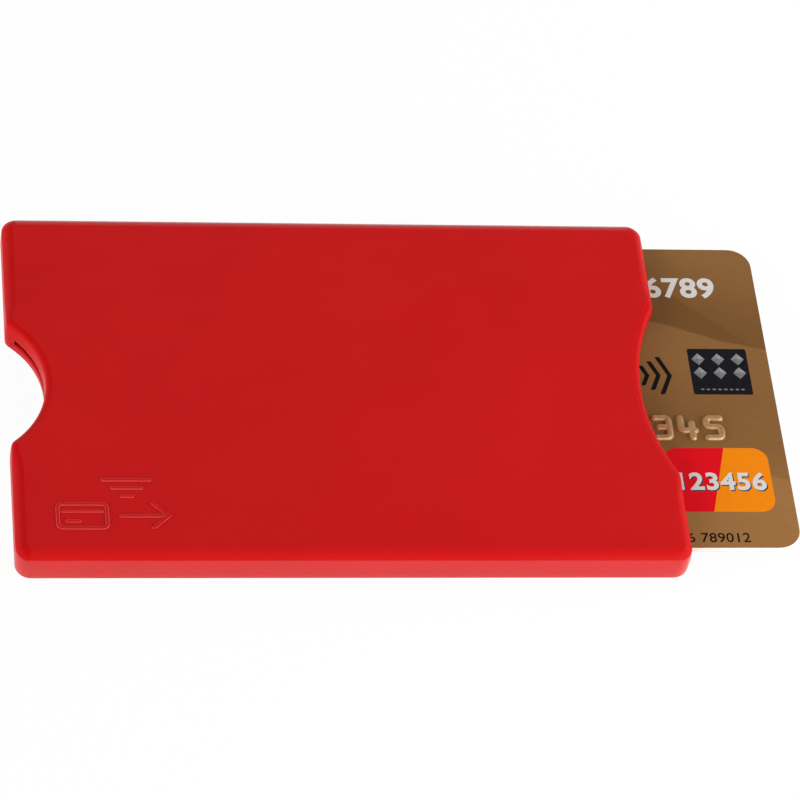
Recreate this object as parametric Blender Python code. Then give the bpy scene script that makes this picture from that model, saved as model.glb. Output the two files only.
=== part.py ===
"""A slim hard-plastic sleeve for one bank card, with a card part way out of its mouth.

The sleeve is two red mouldings glued together, each lined with a shielding foil:
a front shell that carries the front wall, both sides and the closed end, and a
back cover let into its back.  The card is a laminate of plastic sheets with a
chip module, an antenna coil, a magnetic stripe, a signature panel and a foil patch.

Frame: metres, +Z up.  The origin is the middle of the sleeve's back face, +X runs
out through the open mouth, +Y across the sleeve.  The card slides along X.
"""
import math

import bmesh
import bpy
from mathutils import Matrix

MM = 0.001

# Driving sizes of the card, a standard bank card, which everything else is sized round
CARD_LENGTH = 85.60 * MM
CARD_WIDTH = 53.98 * MM
CARD_CORNER_RADIUS = 3.18 * MM
FRONT_SHEET_THICKNESS = 0.16 * MM
CORE_THICKNESS = 0.44 * MM
BACK_SHEET_THICKNESS = 0.16 * MM
CARD_STICK_OUT = 15.72 * MM      # how far the card stands out of the sleeve at rest
CARD_SIDE_SHIFT = 0.29 * MM      # how far the card lies off the slot's middle, within its play

# Driving sizes of the sleeve
FRONT_WALL = 1.95 * MM
BACK_WALL = 1.70 * MM
SIDE_WALL = 2.70 * MM
END_WALL = 1.30 * MM
SIDE_PLAY = 0.51 * MM            # on each side of the card
END_PLAY = 0.30 * MM             # left between the card and the closed end, pushed home
MOUTH_OVERHANG = 3.80 * MM       # the mouth's rim stands this far past a card pushed home
CARD_LIFT = 0.02 * MM            # under the card, where it lies on the back cover
EMBOSS_ROOM = 0.57 * MM          # over the card, for its raised digits

# Roundings of the sleeve
PLAN_CORNER_RADIUS = 2.25 * MM
SIDE_CROWN_RADIUS = 2.05 * MM    # the wide bend by which the face falls away towards a side
SIDE_CROWN_ANGLE = math.radians(55)
SIDE_EDGE_RADIUS = 0.25 * MM     # the tight edge between that bend and the side
NOTCH_CROWN_RADIUS = 1.60 * MM
NOTCH_CROWN_ANGLE = math.radians(35)
NOTCH_EDGE_RADIUS = 0.50 * MM
BACK_EDGE_RADIUS = 0.4 * MM
RIM_RUN_OUT = 4.0 * MM           # over which a side's edge turns into a notch's rim
SIDE_BARREL = 0.15 * MM          # how much the sides swell from their edges to mid-height
SLOT_CORNER_RADIUS = 2.5 * MM

# The two cut-outs: one at the closed end to push the card out, one at the mouth to grip it
THUMB_NOTCH_RADIUS = 13.25 * MM
THUMB_NOTCH_DEPTH = 5.00 * MM
THUMB_SHOULDER_RADIUS = 1.5 * MM
MOUTH_NOTCH_RADIUS = 32.85 * MM
MOUTH_NOTCH_DEPTH = 3.55 * MM
MOUTH_SHOULDER_RADIUS = 2.85 * MM
MOUTH_NOTCH_SHIFT = 0.55 * MM    # the mouth's notch lies this far off the middle, to the near side

# Where the back cover is let into the front shell
SEAT_WIDTH = 1.0 * MM            # ledge under each long edge of the cover
END_SEAT_WIDTH = 0.4 * MM        # ledge at the closed end
COVER_CORNER_RADIUS = 1.5 * MM
SEAM_CLEARANCE = 0.05 * MM
GLUE_FILM = 0.02 * MM
TONGUE_WIDTH = 0.50 * MM
TONGUE_HEIGHT = 0.40 * MM
TONGUE_TIP_CLEARANCE = 0.10 * MM

# The slot's lead-in at the mouth, and the two ridges that stop the card falling out
LEAD_IN_LENGTH = 2.5 * MM
LEAD_IN_RISE = 0.30 * MM
LEAD_IN_SPREAD = 0.60 * MM
RIDGE_RADIUS = 0.95 * MM
RIDGE_WIDTH = 1.6 * MM
RIDGE_EDGE_INSET = 1.5 * MM      # from the card's long edge to the ridge's middle
RIDGE_CLEARANCE = 0.07 * MM
RIDGE_FOIL_GAP = 0.5 * MM

# The shielding foils
FOIL_THICKNESS = 0.10 * MM
FOIL_SUNK = 0.03 * MM            # below the wall around it, so the card never rubs it
FOIL_NOTCH_MARGIN = 1.9 * MM
FOIL_SIDE_MARGIN = 2.0 * MM
FOIL_CORNER_RADIUS = 2.0 * MM
FOIL_CLEARANCE = 0.10 * MM       # around the foil in its recess

# The chip module, placed from the card's closed-end edge and its top edge
MODULE_LENGTH = 13.0 * MM
MODULE_WIDTH = 11.8 * MM
MODULE_CORNER_RADIUS = 1.4 * MM
MODULE_FROM_END = 15.1 * MM
MODULE_FROM_TOP = 23.9 * MM
MODULE_CLEARANCE = 0.05 * MM
CONTACT_THICKNESS = 0.06 * MM
RESIN_SIZE = 8.0 * MM
RESIN_THICKNESS = 0.40 * MM
RESIN_CORNER_RADIUS = 1.2 * MM
RESIN_CLEARANCE = 0.10 * MM
DIE_LENGTH = 3.2 * MM
DIE_WIDTH = 2.6 * MM
DIE_THICKNESS = 0.16 * MM
BOND_FILM = 0.01 * MM

# The antenna coil in the core's upper face, and the strap under the core that joins its ends
WIRE_DIAMETER = 0.14 * MM
WIRE_CLEARANCE = 0.02 * MM
COIL_PITCH = 0.9 * MM
COIL_FROM_EDGE = 2.0 * MM
COIL_CORNER_RADIUS = 4.2 * MM
COIL_CHANNEL_MARGIN = 0.4 * MM
COIL_TURNS = 3
COIL_END_GAP = 2.4 * MM          # between the coil's two ends, along the card's short side
LEAD_OVERLAP = 1.2 * MM          # how far the ends reach under the module's contact plate
STRAP_WIDTH = 1.2 * MM
STRAP_THICKNESS = 0.06 * MM
POST_RADIUS = 0.25 * MM
POST_CLEARANCE = 0.05 * MM

# What lies in the card's faces
STRIPE_WIDTH = 12.7 * MM
STRIPE_FROM_TOP = 4.0 * MM
PANEL_LENGTH = 58.0 * MM
PANEL_WIDTH = 9.5 * MM
PANEL_CORNER_RADIUS = 0.8 * MM
PANEL_FROM_END = 14.0 * MM
PANEL_FROM_TOP = 19.5 * MM
PATCH_LENGTH = 8.4 * MM
PATCH_WIDTH = 8.3 * MM
PATCH_CORNER_RADIUS = 0.3 * MM
PATCH_FROM_MOUTH_EDGE = 3.0 * MM
PATCH_FROM_TOP = 18.65 * MM
SKIN_THICKNESS = 0.04 * MM       # stripe, signature panel and patch
SKIN_CLEARANCE = 0.02 * MM       # around each of them

# How finely round things are drawn
OVERRUN = 1.0 * MM               # how far a cutter stands out of what it cuts
CORNER_STEPS = 8
CROWN_STEPS = 6
EDGE_STEPS = 3
BACK_EDGE_STEPS = 2
SIDE_STEPS = 4
RUN_OUT_STEPS = 4
SHOULDER_STEPS = 6
NOTCH_STEPS = 22
ROUND_STEPS = 24
SHARP_ANGLE = math.radians(32)

# Sizes that follow from the driving ones
CARD_THICKNESS = FRONT_SHEET_THICKNESS + CORE_THICKNESS + BACK_SHEET_THICKNESS
SLOT_WIDTH = CARD_WIDTH + 2 * SIDE_PLAY
SLOT_HEIGHT = CARD_LIFT + CARD_THICKNESS + EMBOSS_ROOM
HOLDER_LENGTH = END_WALL + END_PLAY + CARD_LENGTH + MOUTH_OVERHANG
HOLDER_WIDTH = SLOT_WIDTH + 2 * SIDE_WALL
HOLDER_THICKNESS = BACK_WALL + SLOT_HEIGHT + FRONT_WALL
CLOSED_END_X = -HOLDER_LENGTH / 2
MOUTH_X = HOLDER_LENGTH / 2
SLOT_CEILING_Z = BACK_WALL + SLOT_HEIGHT
CARD_CENTRE_X = MOUTH_X + CARD_STICK_OUT - CARD_LENGTH / 2
CARD_BOTTOM_Z = BACK_WALL + CARD_LIFT

FOIL_RECESS_DEPTH = FOIL_THICKNESS + GLUE_FILM + FOIL_SUNK
FOIL_START_X = CLOSED_END_X + THUMB_NOTCH_DEPTH + FOIL_NOTCH_MARGIN
FOIL_END_X = MOUTH_X - MOUTH_NOTCH_DEPTH - FOIL_NOTCH_MARGIN
FOIL_WIDTH = SLOT_WIDTH - 2 * FOIL_SIDE_MARGIN

# Heights and places inside the card, in the card's own frame: its middle, on its underside
CORE_BOTTOM_Z = BACK_SHEET_THICKNESS
CORE_TOP_Z = CORE_BOTTOM_Z + CORE_THICKNESS
TAPE_THICKNESS = FRONT_SHEET_THICKNESS - CONTACT_THICKNESS
MODULE_X = MODULE_FROM_END - CARD_LENGTH / 2
MODULE_Y = CARD_WIDTH / 2 - MODULE_FROM_TOP
SKIN_DEPTH = SKIN_THICKNESS + BOND_FILM
CHANNEL_DEPTH = WIRE_DIAMETER + 2 * WIRE_CLEARANCE
COIL_START_X = COIL_FROM_EDGE - CARD_LENGTH / 2
LEAD_END_X = MODULE_X - MODULE_LENGTH / 2 + LEAD_OVERLAP
COIL_INNER_Y = MODULE_Y + COIL_END_GAP / 2
COIL_OUTER_Y = MODULE_Y - COIL_END_GAP / 2


def plastic(name, colour, roughness, metallic=0.0):
    """A plain surface: colour as red, green and blue, from 0 to 1."""
    material = bpy.data.materials.new(name)
    material.use_nodes = True
    shader = material.node_tree.nodes["Principled BSDF"]
    shader.inputs["Base Color"].default_value = (*colour, 1.0)
    shader.inputs["Roughness"].default_value = roughness
    shader.inputs["Metallic"].default_value = metallic
    material.diffuse_color = (*colour, 1.0)
    return material


def new_object(name, mesh, collection, parent=None):
    """Put a mesh into the scene as one named object, round faces smooth."""
    mesh.shade_smooth()
    mesh.set_sharp_from_angle(angle=SHARP_ANGLE)
    made = bpy.data.objects.new(name, mesh)
    collection.objects.link(made)
    made.parent = parent
    return made


def mesh_from(bm, name):
    """Close a bmesh into a mesh with its faces pointing out."""
    bmesh.ops.recalc_face_normals(bm, faces=bm.faces)
    mesh = bpy.data.meshes.new(name)
    bm.to_mesh(mesh)
    bm.free()
    return mesh


def arc(centre_x, centre_y, radius, start, end, steps):
    """Points along an arc, from one angle to another, both ends included."""
    turns = [start + (end - start) * step / steps for step in range(steps + 1)]
    return [(centre_x + radius * math.cos(turn), centre_y + radius * math.sin(turn)) for turn in turns]


def between(start, end, share):
    """A value part of the way from one to another."""
    return start + (end - start) * share


def rounded_rectangle(x_low, x_high, y_low, y_high, radius, steps=CORNER_STEPS):
    """Outline with four round corners, anticlockwise from the low corner."""
    centres = (
        (x_low + radius, y_low + radius, math.pi),
        (x_high - radius, y_low + radius, math.pi * 1.5),
        (x_high - radius, y_high - radius, 0.0),
        (x_low + radius, y_high - radius, math.pi * 0.5),
    )
    points = []
    for centre_x, centre_y, start in centres:
        points += arc(centre_x, centre_y, radius, start, start + math.pi / 2, steps)
    return points


def plate_mesh(name, outline, z_low, z_high):
    """A flat plate: an outline filled, then extruded upward."""
    bm = bmesh.new()
    floor = bm.faces.new([bm.verts.new((x, y, z_low)) for x, y in outline])
    grown = bmesh.ops.extrude_face_region(bm, geom=[floor])
    risen = [item for item in grown["geom"] if isinstance(item, bmesh.types.BMVert)]
    bmesh.ops.translate(bm, verts=risen, vec=(0, 0, z_high - z_low))
    return mesh_from(bm, name)


def box_mesh(name, x_low, x_high, y_low, y_high, z_low, z_high):
    """A plain box between two corners."""
    bm = bmesh.new()
    size = Matrix.Diagonal((x_high - x_low, y_high - y_low, z_high - z_low, 1))
    middle = Matrix.Translation(((x_low + x_high) / 2, (y_low + y_high) / 2, (z_low + z_high) / 2))
    bmesh.ops.create_cube(bm, size=1, matrix=middle @ size)
    return mesh_from(bm, name)


def post_mesh(name, x, y, z_low, z_high, radius):
    """An upright round post."""
    bm = bmesh.new()
    middle = Matrix.Translation((x, y, (z_low + z_high) / 2))
    bmesh.ops.create_cone(
        bm, cap_ends=True, segments=ROUND_STEPS, radius1=radius, radius2=radius, depth=z_high - z_low,
        matrix=middle
    )
    return mesh_from(bm, name)


def combine(target, tool, operation):
    """Cut a tool from an object, join it on, or keep what the two share; the tool stays a wire guide."""
    modifier = target.modifiers.new(tool.name, "BOOLEAN")
    modifier.operation = operation
    modifier.solver = "EXACT"
    modifier.object = tool
    tool.hide_render = True
    tool.display_type = "WIRE"


def notched_side(edge_x, top_y, radius, depth, shoulder_radius, shift):
    """One short side of the sleeve, from its low corner up: points, outward angles and edge shares.

    The notch is an arc that bites into the side, its middle shifted along the side,
    and a round shoulder leads into it at each end.  The edge share falls from 1 on the
    straight side to 0 at the shoulder, where the edge has turned into the notch's rim.
    """
    swing = radius - depth + shoulder_radius
    shoulder_y = math.sqrt((radius + shoulder_radius) ** 2 - swing ** 2)
    turn = math.atan2(shoulder_y, swing)
    lower_half = []
    for step in range(RUN_OUT_STEPS):
        left = 1 - step / RUN_OUT_STEPS
        lower_half.append((edge_x, -shoulder_y - RIM_RUN_OUT * left, 0.0, left * left * (3 - 2 * left)))
    for step in range(SHOULDER_STEPS + 1):
        angle = turn * step / SHOULDER_STEPS
        x = edge_x - shoulder_radius + shoulder_radius * math.cos(angle)
        y = -shoulder_y + shoulder_radius * math.sin(angle)
        lower_half.append((x, y, angle, 0.0))
    notch = list(lower_half)
    for step in range(1, NOTCH_STEPS):
        angle = turn - 2 * turn * step / NOTCH_STEPS
        x = edge_x + radius - depth - radius * math.cos(angle)
        notch.append((x, -radius * math.sin(angle), angle, 0.0))
    notch += [(x, -y, -angle, share) for x, y, angle, share in reversed(lower_half)]
    ends = [(edge_x, y, 0.0, 1.0) for y in (-top_y, top_y)]
    return [ends[0]] + [(x, y + shift, angle, share) for x, y, angle, share in notch] + [ends[1]]


def corner_stations(centre_x, centre_y, start):
    """A round corner of the sleeve, between its two ends."""
    points = arc(centre_x, centre_y, PLAN_CORNER_RADIUS, start, start + math.pi / 2, CORNER_STEPS)
    angles = [start + math.pi / 2 * step / CORNER_STEPS for step in range(CORNER_STEPS + 1)]
    return [(*point, angle, 1.0) for point, angle in zip(points, angles)][1:-1]


def sleeve_stations():
    """The sleeve's whole outline, anticlockwise from the mouth's low corner."""
    corner_x = HOLDER_LENGTH / 2 - PLAN_CORNER_RADIUS
    corner_y = HOLDER_WIDTH / 2 - PLAN_CORNER_RADIUS
    mouth = notched_side(
        MOUTH_X, corner_y, MOUTH_NOTCH_RADIUS, MOUTH_NOTCH_DEPTH, MOUTH_SHOULDER_RADIUS, -MOUTH_NOTCH_SHIFT
    )
    thumb = notched_side(
        MOUTH_X, corner_y, THUMB_NOTCH_RADIUS, THUMB_NOTCH_DEPTH, THUMB_SHOULDER_RADIUS, 0.0
    )
    closed_end = [(-x, -y, angle + math.pi, share) for x, y, angle, share in thumb]
    stations = list(mouth)
    stations += corner_stations(corner_x, corner_y, 0.0)
    stations += [(corner_x, HOLDER_WIDTH / 2, math.pi / 2, 1.0),
                 (-corner_x, HOLDER_WIDTH / 2, math.pi / 2, 1.0)]
    stations += corner_stations(-corner_x, corner_y, math.pi / 2)
    stations += closed_end
    stations += corner_stations(-corner_x, -corner_y, math.pi)
    stations += [(-corner_x, -HOLDER_WIDTH / 2, -math.pi / 2, 1.0),
                 (corner_x, -HOLDER_WIDTH / 2, -math.pi / 2, 1.0)]
    stations += corner_stations(corner_x, -corner_y, -math.pi / 2)
    return stations


def edge_profile(share):
    """The sleeve's edge from back to front: how far in and how high each ring lies.

    The face falls away over a wide crown, and a tight edge turns it down into the side.
    The share mixes the two shapes of it: 0 for a notch's rim, 1 for a plain side's edge.
    """
    crown = between(NOTCH_CROWN_RADIUS, SIDE_CROWN_RADIUS, share)
    bend = between(NOTCH_CROWN_ANGLE, SIDE_CROWN_ANGLE, share)
    edge = between(NOTCH_EDGE_RADIUS, SIDE_EDGE_RADIUS, share)
    wall_top = HOLDER_THICKNESS - edge * math.cos(bend) - crown * (1 - math.cos(bend))
    profile = []
    for step in range(BACK_EDGE_STEPS + 1):
        angle = math.pi / 2 * step / BACK_EDGE_STEPS
        profile.append((BACK_EDGE_RADIUS * (1 - math.sin(angle)), BACK_EDGE_RADIUS * (1 - math.cos(angle))))
    for step in range(1, SIDE_STEPS):
        profile.append((0.0, between(BACK_EDGE_RADIUS, wall_top, step / SIDE_STEPS)))
    for step in range(EDGE_STEPS + 1):
        tilt = between(math.pi / 2, bend, step / EDGE_STEPS)
        profile.append((edge * (1 - math.sin(tilt)), wall_top + edge * math.cos(tilt)))
    crown_inset, crown_foot = profile[-1]
    for step in range(1, CROWN_STEPS + 1):
        tilt = between(bend, 0.0, step / CROWN_STEPS)
        inset = crown_inset + crown * (math.sin(bend) - math.sin(tilt))
        profile.append((inset, crown_foot + crown * (math.cos(tilt) - math.cos(bend))))
    swollen = []
    for inset, height in profile:
        swollen.append((inset + SIDE_BARREL * (2 * height / HOLDER_THICKNESS - 1) ** 2, height))
    return swollen


def sleeve_mesh(name):
    """The sleeve's outer form as one solid, lofted ring by ring from back to front.

    Its sides swell a little towards mid-height, and the crown of its front face
    narrows to a finer rim along the two notches.
    """
    bm = bmesh.new()
    stations = sleeve_stations()
    columns = []
    for x, y, out, share in stations:
        column = [
            bm.verts.new((x - inset * math.cos(out), y - inset * math.sin(out), height))
            for inset, height in edge_profile(share)
        ]
        columns.append(column)
    loops = list(zip(*columns))
    count = len(stations)
    for low, high in zip(loops, loops[1:]):
        for here in range(count):
            ahead = (here + 1) % count
            bm.faces.new((low[here], low[ahead], high[ahead], high[here]))
    bm.faces.new(list(reversed(loops[0])))
    bm.faces.new(loops[-1])
    return mesh_from(bm, name)


def slot_cutter(cutters):
    """The hollow that the card slides in, open through the mouth and down to the cover's opening."""
    outline = rounded_rectangle(
        CLOSED_END_X + END_WALL, MOUTH_X + OVERRUN + SLOT_CORNER_RADIUS, -SLOT_WIDTH / 2, SLOT_WIDTH / 2,
        SLOT_CORNER_RADIUS
    )
    return new_object("slot_cutter", plate_mesh("slot_cutter", outline, -OVERRUN, SLOT_CEILING_Z), cutters)


def cover_outline(grow):
    """The back cover's plan, grown all round; it runs out through the mouth."""
    half_width = SLOT_WIDTH / 2 + SEAT_WIDTH + grow
    start_x = CLOSED_END_X + END_WALL - END_SEAT_WIDTH - grow
    return rounded_rectangle(
        start_x, MOUTH_X + OVERRUN + COVER_CORNER_RADIUS, -half_width, half_width, COVER_CORNER_RADIUS
    )


def foil_outline(grow):
    """The foils' plan, short of both notches and of the slot's sides, grown all round."""
    half_width = FOIL_WIDTH / 2 + grow
    return rounded_rectangle(
        FOIL_START_X - grow, FOIL_END_X + grow, -half_width, half_width, FOIL_CORNER_RADIUS + grow
    )


def lead_in_cutter(cutters):
    """A wedge that opens the slot towards the mouth, so that a card finds its way in."""
    mesh = box_mesh(
        "lead_in_cutter", MOUTH_X - LEAD_IN_LENGTH, MOUTH_X, -SLOT_WIDTH / 2, SLOT_WIDTH / 2, BACK_WALL,
        SLOT_CEILING_Z
    )
    middle_z = (BACK_WALL + SLOT_CEILING_Z) / 2
    run_share = 1 + OVERRUN / LEAD_IN_LENGTH
    for vertex in mesh.vertices:
        if vertex.co.x > MOUTH_X - LEAD_IN_LENGTH / 2:
            vertex.co.x += OVERRUN
            vertex.co.y += math.copysign(LEAD_IN_SPREAD * run_share, vertex.co.y)
            vertex.co.z += math.copysign(LEAD_IN_RISE * run_share, vertex.co.z - middle_z)
    return new_object("lead_in_cutter", mesh, cutters)


def retaining_ridges(cutters):
    """Two half-round ridges on the slot's ceiling that press lightly on the card's long edges."""
    centre_z = SLOT_CEILING_Z - EMBOSS_ROOM + RIDGE_CLEARANCE + RIDGE_RADIUS
    centre_x = FOIL_END_X + FOIL_CLEARANCE + RIDGE_FOIL_GAP + RIDGE_RADIUS
    made = []
    for side, sign in (("near", -1), ("far", 1)):
        bm = bmesh.new()
        place = Matrix.Translation((centre_x, sign * (CARD_WIDTH / 2 - RIDGE_EDGE_INSET), centre_z))
        lie_across = Matrix.Rotation(math.pi / 2, 4, "X")
        bmesh.ops.create_cone(
            bm, cap_ends=True, segments=ROUND_STEPS, radius1=RIDGE_RADIUS, radius2=RIDGE_RADIUS,
            depth=RIDGE_WIDTH, matrix=place @ lie_across
        )
        made.append(new_object("ridge_" + side, mesh_from(bm, "ridge_" + side), cutters))
    return made


def make_front_shell(parts, cutters, slot, lead_in, red):
    """Front moulding: front wall, both sides and the closed end, hollow and open at the back."""
    shell = new_object("front_shell", sleeve_mesh("front_shell"), parts)
    shell.data.materials.append(red)
    combine(shell, slot, "DIFFERENCE")
    seat = plate_mesh("cover_seat_cutter", cover_outline(SEAM_CLEARANCE), -OVERRUN, BACK_WALL + GLUE_FILM)
    combine(shell, new_object("cover_seat_cutter", seat, cutters), "DIFFERENCE")
    recess = plate_mesh(
        "front_foil_cutter", foil_outline(FOIL_CLEARANCE), SLOT_CEILING_Z - OVERRUN,
        SLOT_CEILING_Z + FOIL_RECESS_DEPTH
    )
    combine(shell, new_object("front_foil_cutter", recess, cutters), "DIFFERENCE")
    for side, sign in (("near", -1), ("far", 1)):
        y_middle = sign * (SLOT_WIDTH + SEAT_WIDTH) / 2
        half_width = TONGUE_WIDTH / 2 + SEAM_CLEARANCE
        name = "groove_cutter_" + side
        groove = box_mesh(
            name, FOIL_START_X - SEAM_CLEARANCE, FOIL_END_X + SEAM_CLEARANCE, y_middle - half_width,
            y_middle + half_width, BACK_WALL - OVERRUN, BACK_WALL + TONGUE_HEIGHT + TONGUE_TIP_CLEARANCE
        )
        combine(shell, new_object(name, groove, cutters), "DIFFERENCE")
    combine(shell, lead_in, "DIFFERENCE")
    for ridge in retaining_ridges(cutters):
        combine(shell, ridge, "UNION")


def make_back_cover(parts, cutters, lead_in, red):
    """Back moulding: a flat cover whose edges and notches line up with the shell's."""
    cover = new_object("back_cover", sleeve_mesh("back_cover"), parts)
    cover.data.materials.append(red)
    block = plate_mesh("cover_block", cover_outline(0.0), -OVERRUN, BACK_WALL)
    combine(cover, new_object("cover_block", block, cutters), "INTERSECT")
    recess = plate_mesh(
        "back_foil_cutter", foil_outline(FOIL_CLEARANCE), BACK_WALL - FOIL_RECESS_DEPTH, BACK_WALL + OVERRUN
    )
    combine(cover, new_object("back_foil_cutter", recess, cutters), "DIFFERENCE")
    combine(cover, lead_in, "DIFFERENCE")
    for side, sign in (("near", -1), ("far", 1)):
        y_middle = sign * (SLOT_WIDTH + SEAT_WIDTH) / 2
        name = "tongue_" + side
        tongue = box_mesh(
            name, FOIL_START_X, FOIL_END_X, y_middle - TONGUE_WIDTH / 2, y_middle + TONGUE_WIDTH / 2,
            BACK_WALL / 2, BACK_WALL + TONGUE_HEIGHT
        )
        combine(cover, new_object(name, tongue, cutters), "UNION")


def make_foils(parts, foil_metal):
    """One shielding foil glued into each wall's recess."""
    low = BACK_WALL - FOIL_SUNK - FOIL_THICKNESS
    high = SLOT_CEILING_Z + FOIL_SUNK
    for name, bottom in (("back_shield_foil", low), ("front_shield_foil", high)):
        foil = new_object(name, plate_mesh(name, foil_outline(0.0), bottom, bottom + FOIL_THICKNESS), parts)
        foil.data.materials.append(foil_metal)


def card_outline():
    """The card's plan round its own middle."""
    return rounded_rectangle(
        -CARD_LENGTH / 2, CARD_LENGTH / 2, -CARD_WIDTH / 2, CARD_WIDTH / 2, CARD_CORNER_RADIUS
    )


def module_outline(length, width, radius, grow):
    """A rounded outline round the chip module's middle."""
    half_length = length / 2 + grow
    half_width = width / 2 + grow
    return rounded_rectangle(
        MODULE_X - half_length, MODULE_X + half_length, MODULE_Y - half_width, MODULE_Y + half_width,
        radius + grow
    )


def stripe_outline(grow, run_out):
    """The magnetic stripe, which runs the card's whole length."""
    top_y = CARD_WIDTH / 2 - STRIPE_FROM_TOP
    half_length = CARD_LENGTH / 2 + run_out
    return (
        (-half_length, top_y - STRIPE_WIDTH - grow), (half_length, top_y - STRIPE_WIDTH - grow),
        (half_length, top_y + grow), (-half_length, top_y + grow),
    )


def panel_outline(grow):
    """The signature panel on the card's back."""
    start_x = PANEL_FROM_END - CARD_LENGTH / 2
    top_y = CARD_WIDTH / 2 - PANEL_FROM_TOP
    return rounded_rectangle(
        start_x - grow, start_x + PANEL_LENGTH + grow, top_y - PANEL_WIDTH - grow, top_y + grow,
        PANEL_CORNER_RADIUS + grow
    )


def patch_outline(grow):
    """The stamped foil patch on the card's front."""
    end_x = CARD_LENGTH / 2 - PATCH_FROM_MOUTH_EDGE
    top_y = CARD_WIDTH / 2 - PATCH_FROM_TOP
    return rounded_rectangle(
        end_x - PATCH_LENGTH - grow, end_x + grow, top_y - PATCH_WIDTH - grow, top_y + grow,
        PATCH_CORNER_RADIUS + grow
    )


def make_card_plate(name, outline, z_low, z_high, parts, slide, material):
    """One flat piece of the card, carried by the card's slide."""
    piece = new_object(name, plate_mesh(name, outline, z_low, z_high), parts, slide)
    piece.data.materials.append(material)
    return piece


def cut_card(piece, name, mesh, cutters, slide):
    """Cut a mesh drawn in the card's frame out of one of its pieces."""
    combine(piece, new_object(name, mesh, cutters, slide), "DIFFERENCE")


def make_sheets(parts, cutters, slide, printed, white):
    """The printed front and back sheets and the white core between them."""
    front = make_card_plate(
        "card_front_sheet", card_outline(), CORE_TOP_Z, CARD_THICKNESS, parts, slide, printed
    )
    window = module_outline(MODULE_LENGTH, MODULE_WIDTH, MODULE_CORNER_RADIUS, MODULE_CLEARANCE)
    mesh = plate_mesh("module_window", window, CORE_TOP_Z - OVERRUN, CARD_THICKNESS + OVERRUN)
    cut_card(front, "module_window", mesh, cutters, slide)
    mesh = plate_mesh(
        "patch_cutter", patch_outline(SKIN_CLEARANCE), CARD_THICKNESS - SKIN_DEPTH, CARD_THICKNESS + OVERRUN
    )
    cut_card(front, "patch_cutter", mesh, cutters, slide)

    back = make_card_plate("card_back_sheet", card_outline(), 0.0, CORE_BOTTOM_Z, parts, slide, printed)
    mesh = plate_mesh("stripe_cutter", stripe_outline(SKIN_CLEARANCE, OVERRUN), -OVERRUN, SKIN_DEPTH)
    cut_card(back, "stripe_cutter", mesh, cutters, slide)
    mesh = plate_mesh("panel_cutter", panel_outline(SKIN_CLEARANCE), -OVERRUN, SKIN_DEPTH)
    cut_card(back, "panel_cutter", mesh, cutters, slide)

    core = make_card_plate("card_core", card_outline(), CORE_BOTTOM_Z, CORE_TOP_Z, parts, slide, white)
    pocket = module_outline(RESIN_SIZE, RESIN_SIZE, RESIN_CORNER_RADIUS, RESIN_CLEARANCE)
    mesh = plate_mesh("resin_pocket", pocket, CORE_BOTTOM_Z - OVERRUN, CORE_TOP_Z + OVERRUN)
    cut_card(core, "resin_pocket", mesh, cutters, slide)
    cut_antenna_channels(core, cutters, slide)


def cut_antenna_channels(core, cutters, slide):
    """Sink the coil's channel and its inner lead into the core's top, and the strap into its underside."""
    outer = COIL_FROM_EDGE - COIL_CHANNEL_MARGIN
    inner = COIL_FROM_EDGE + COIL_TURNS * COIL_PITCH + COIL_CHANNEL_MARGIN
    z_low = CORE_TOP_Z - CHANNEL_DEPTH
    mesh = plate_mesh("coil_channel", coil_outline(outer), z_low, CORE_TOP_Z + OVERRUN)
    channel = new_object("coil_channel", mesh, cutters, slide)
    island = plate_mesh("coil_island", coil_outline(inner), z_low - OVERRUN, CORE_TOP_Z + 2 * OVERRUN)
    combine(channel, new_object("coil_island", island, cutters, slide), "DIFFERENCE")
    combine(core, channel, "DIFFERENCE")

    half_lead = WIRE_DIAMETER / 2 + WIRE_CLEARANCE
    lead = box_mesh(
        "lead_channel", COIL_START_X, LEAD_END_X + WIRE_CLEARANCE, COIL_INNER_Y - half_lead,
        COIL_INNER_Y + half_lead, z_low, CORE_TOP_Z + OVERRUN
    )
    cut_card(core, "lead_channel", lead, cutters, slide)

    reach = STRAP_WIDTH / 2 + POST_CLEARANCE
    strap = box_mesh(
        "strap_channel", COIL_START_X - reach, LEAD_END_X + reach, COIL_OUTER_Y - reach, COIL_OUTER_Y + reach,
        CORE_BOTTOM_Z - OVERRUN, CORE_BOTTOM_Z + STRAP_THICKNESS + 2 * BOND_FILM
    )
    cut_card(core, "strap_channel", strap, cutters, slide)
    for name, x in (("outer_post_hole", COIL_START_X), ("inner_post_hole", LEAD_END_X)):
        hole = post_mesh(
            name, x, COIL_OUTER_Y, CORE_BOTTOM_Z - OVERRUN, CORE_TOP_Z + OVERRUN, POST_RADIUS + POST_CLEARANCE
        )
        cut_card(core, name, hole, cutters, slide)


def coil_outline(from_edge):
    """The coil's rounded rectangle at one distance from the card's edge."""
    half_length = CARD_LENGTH / 2 - from_edge
    half_width = CARD_WIDTH / 2 - from_edge
    return rounded_rectangle(-half_length, half_length, -half_width, half_width, COIL_CORNER_RADIUS)


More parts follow.
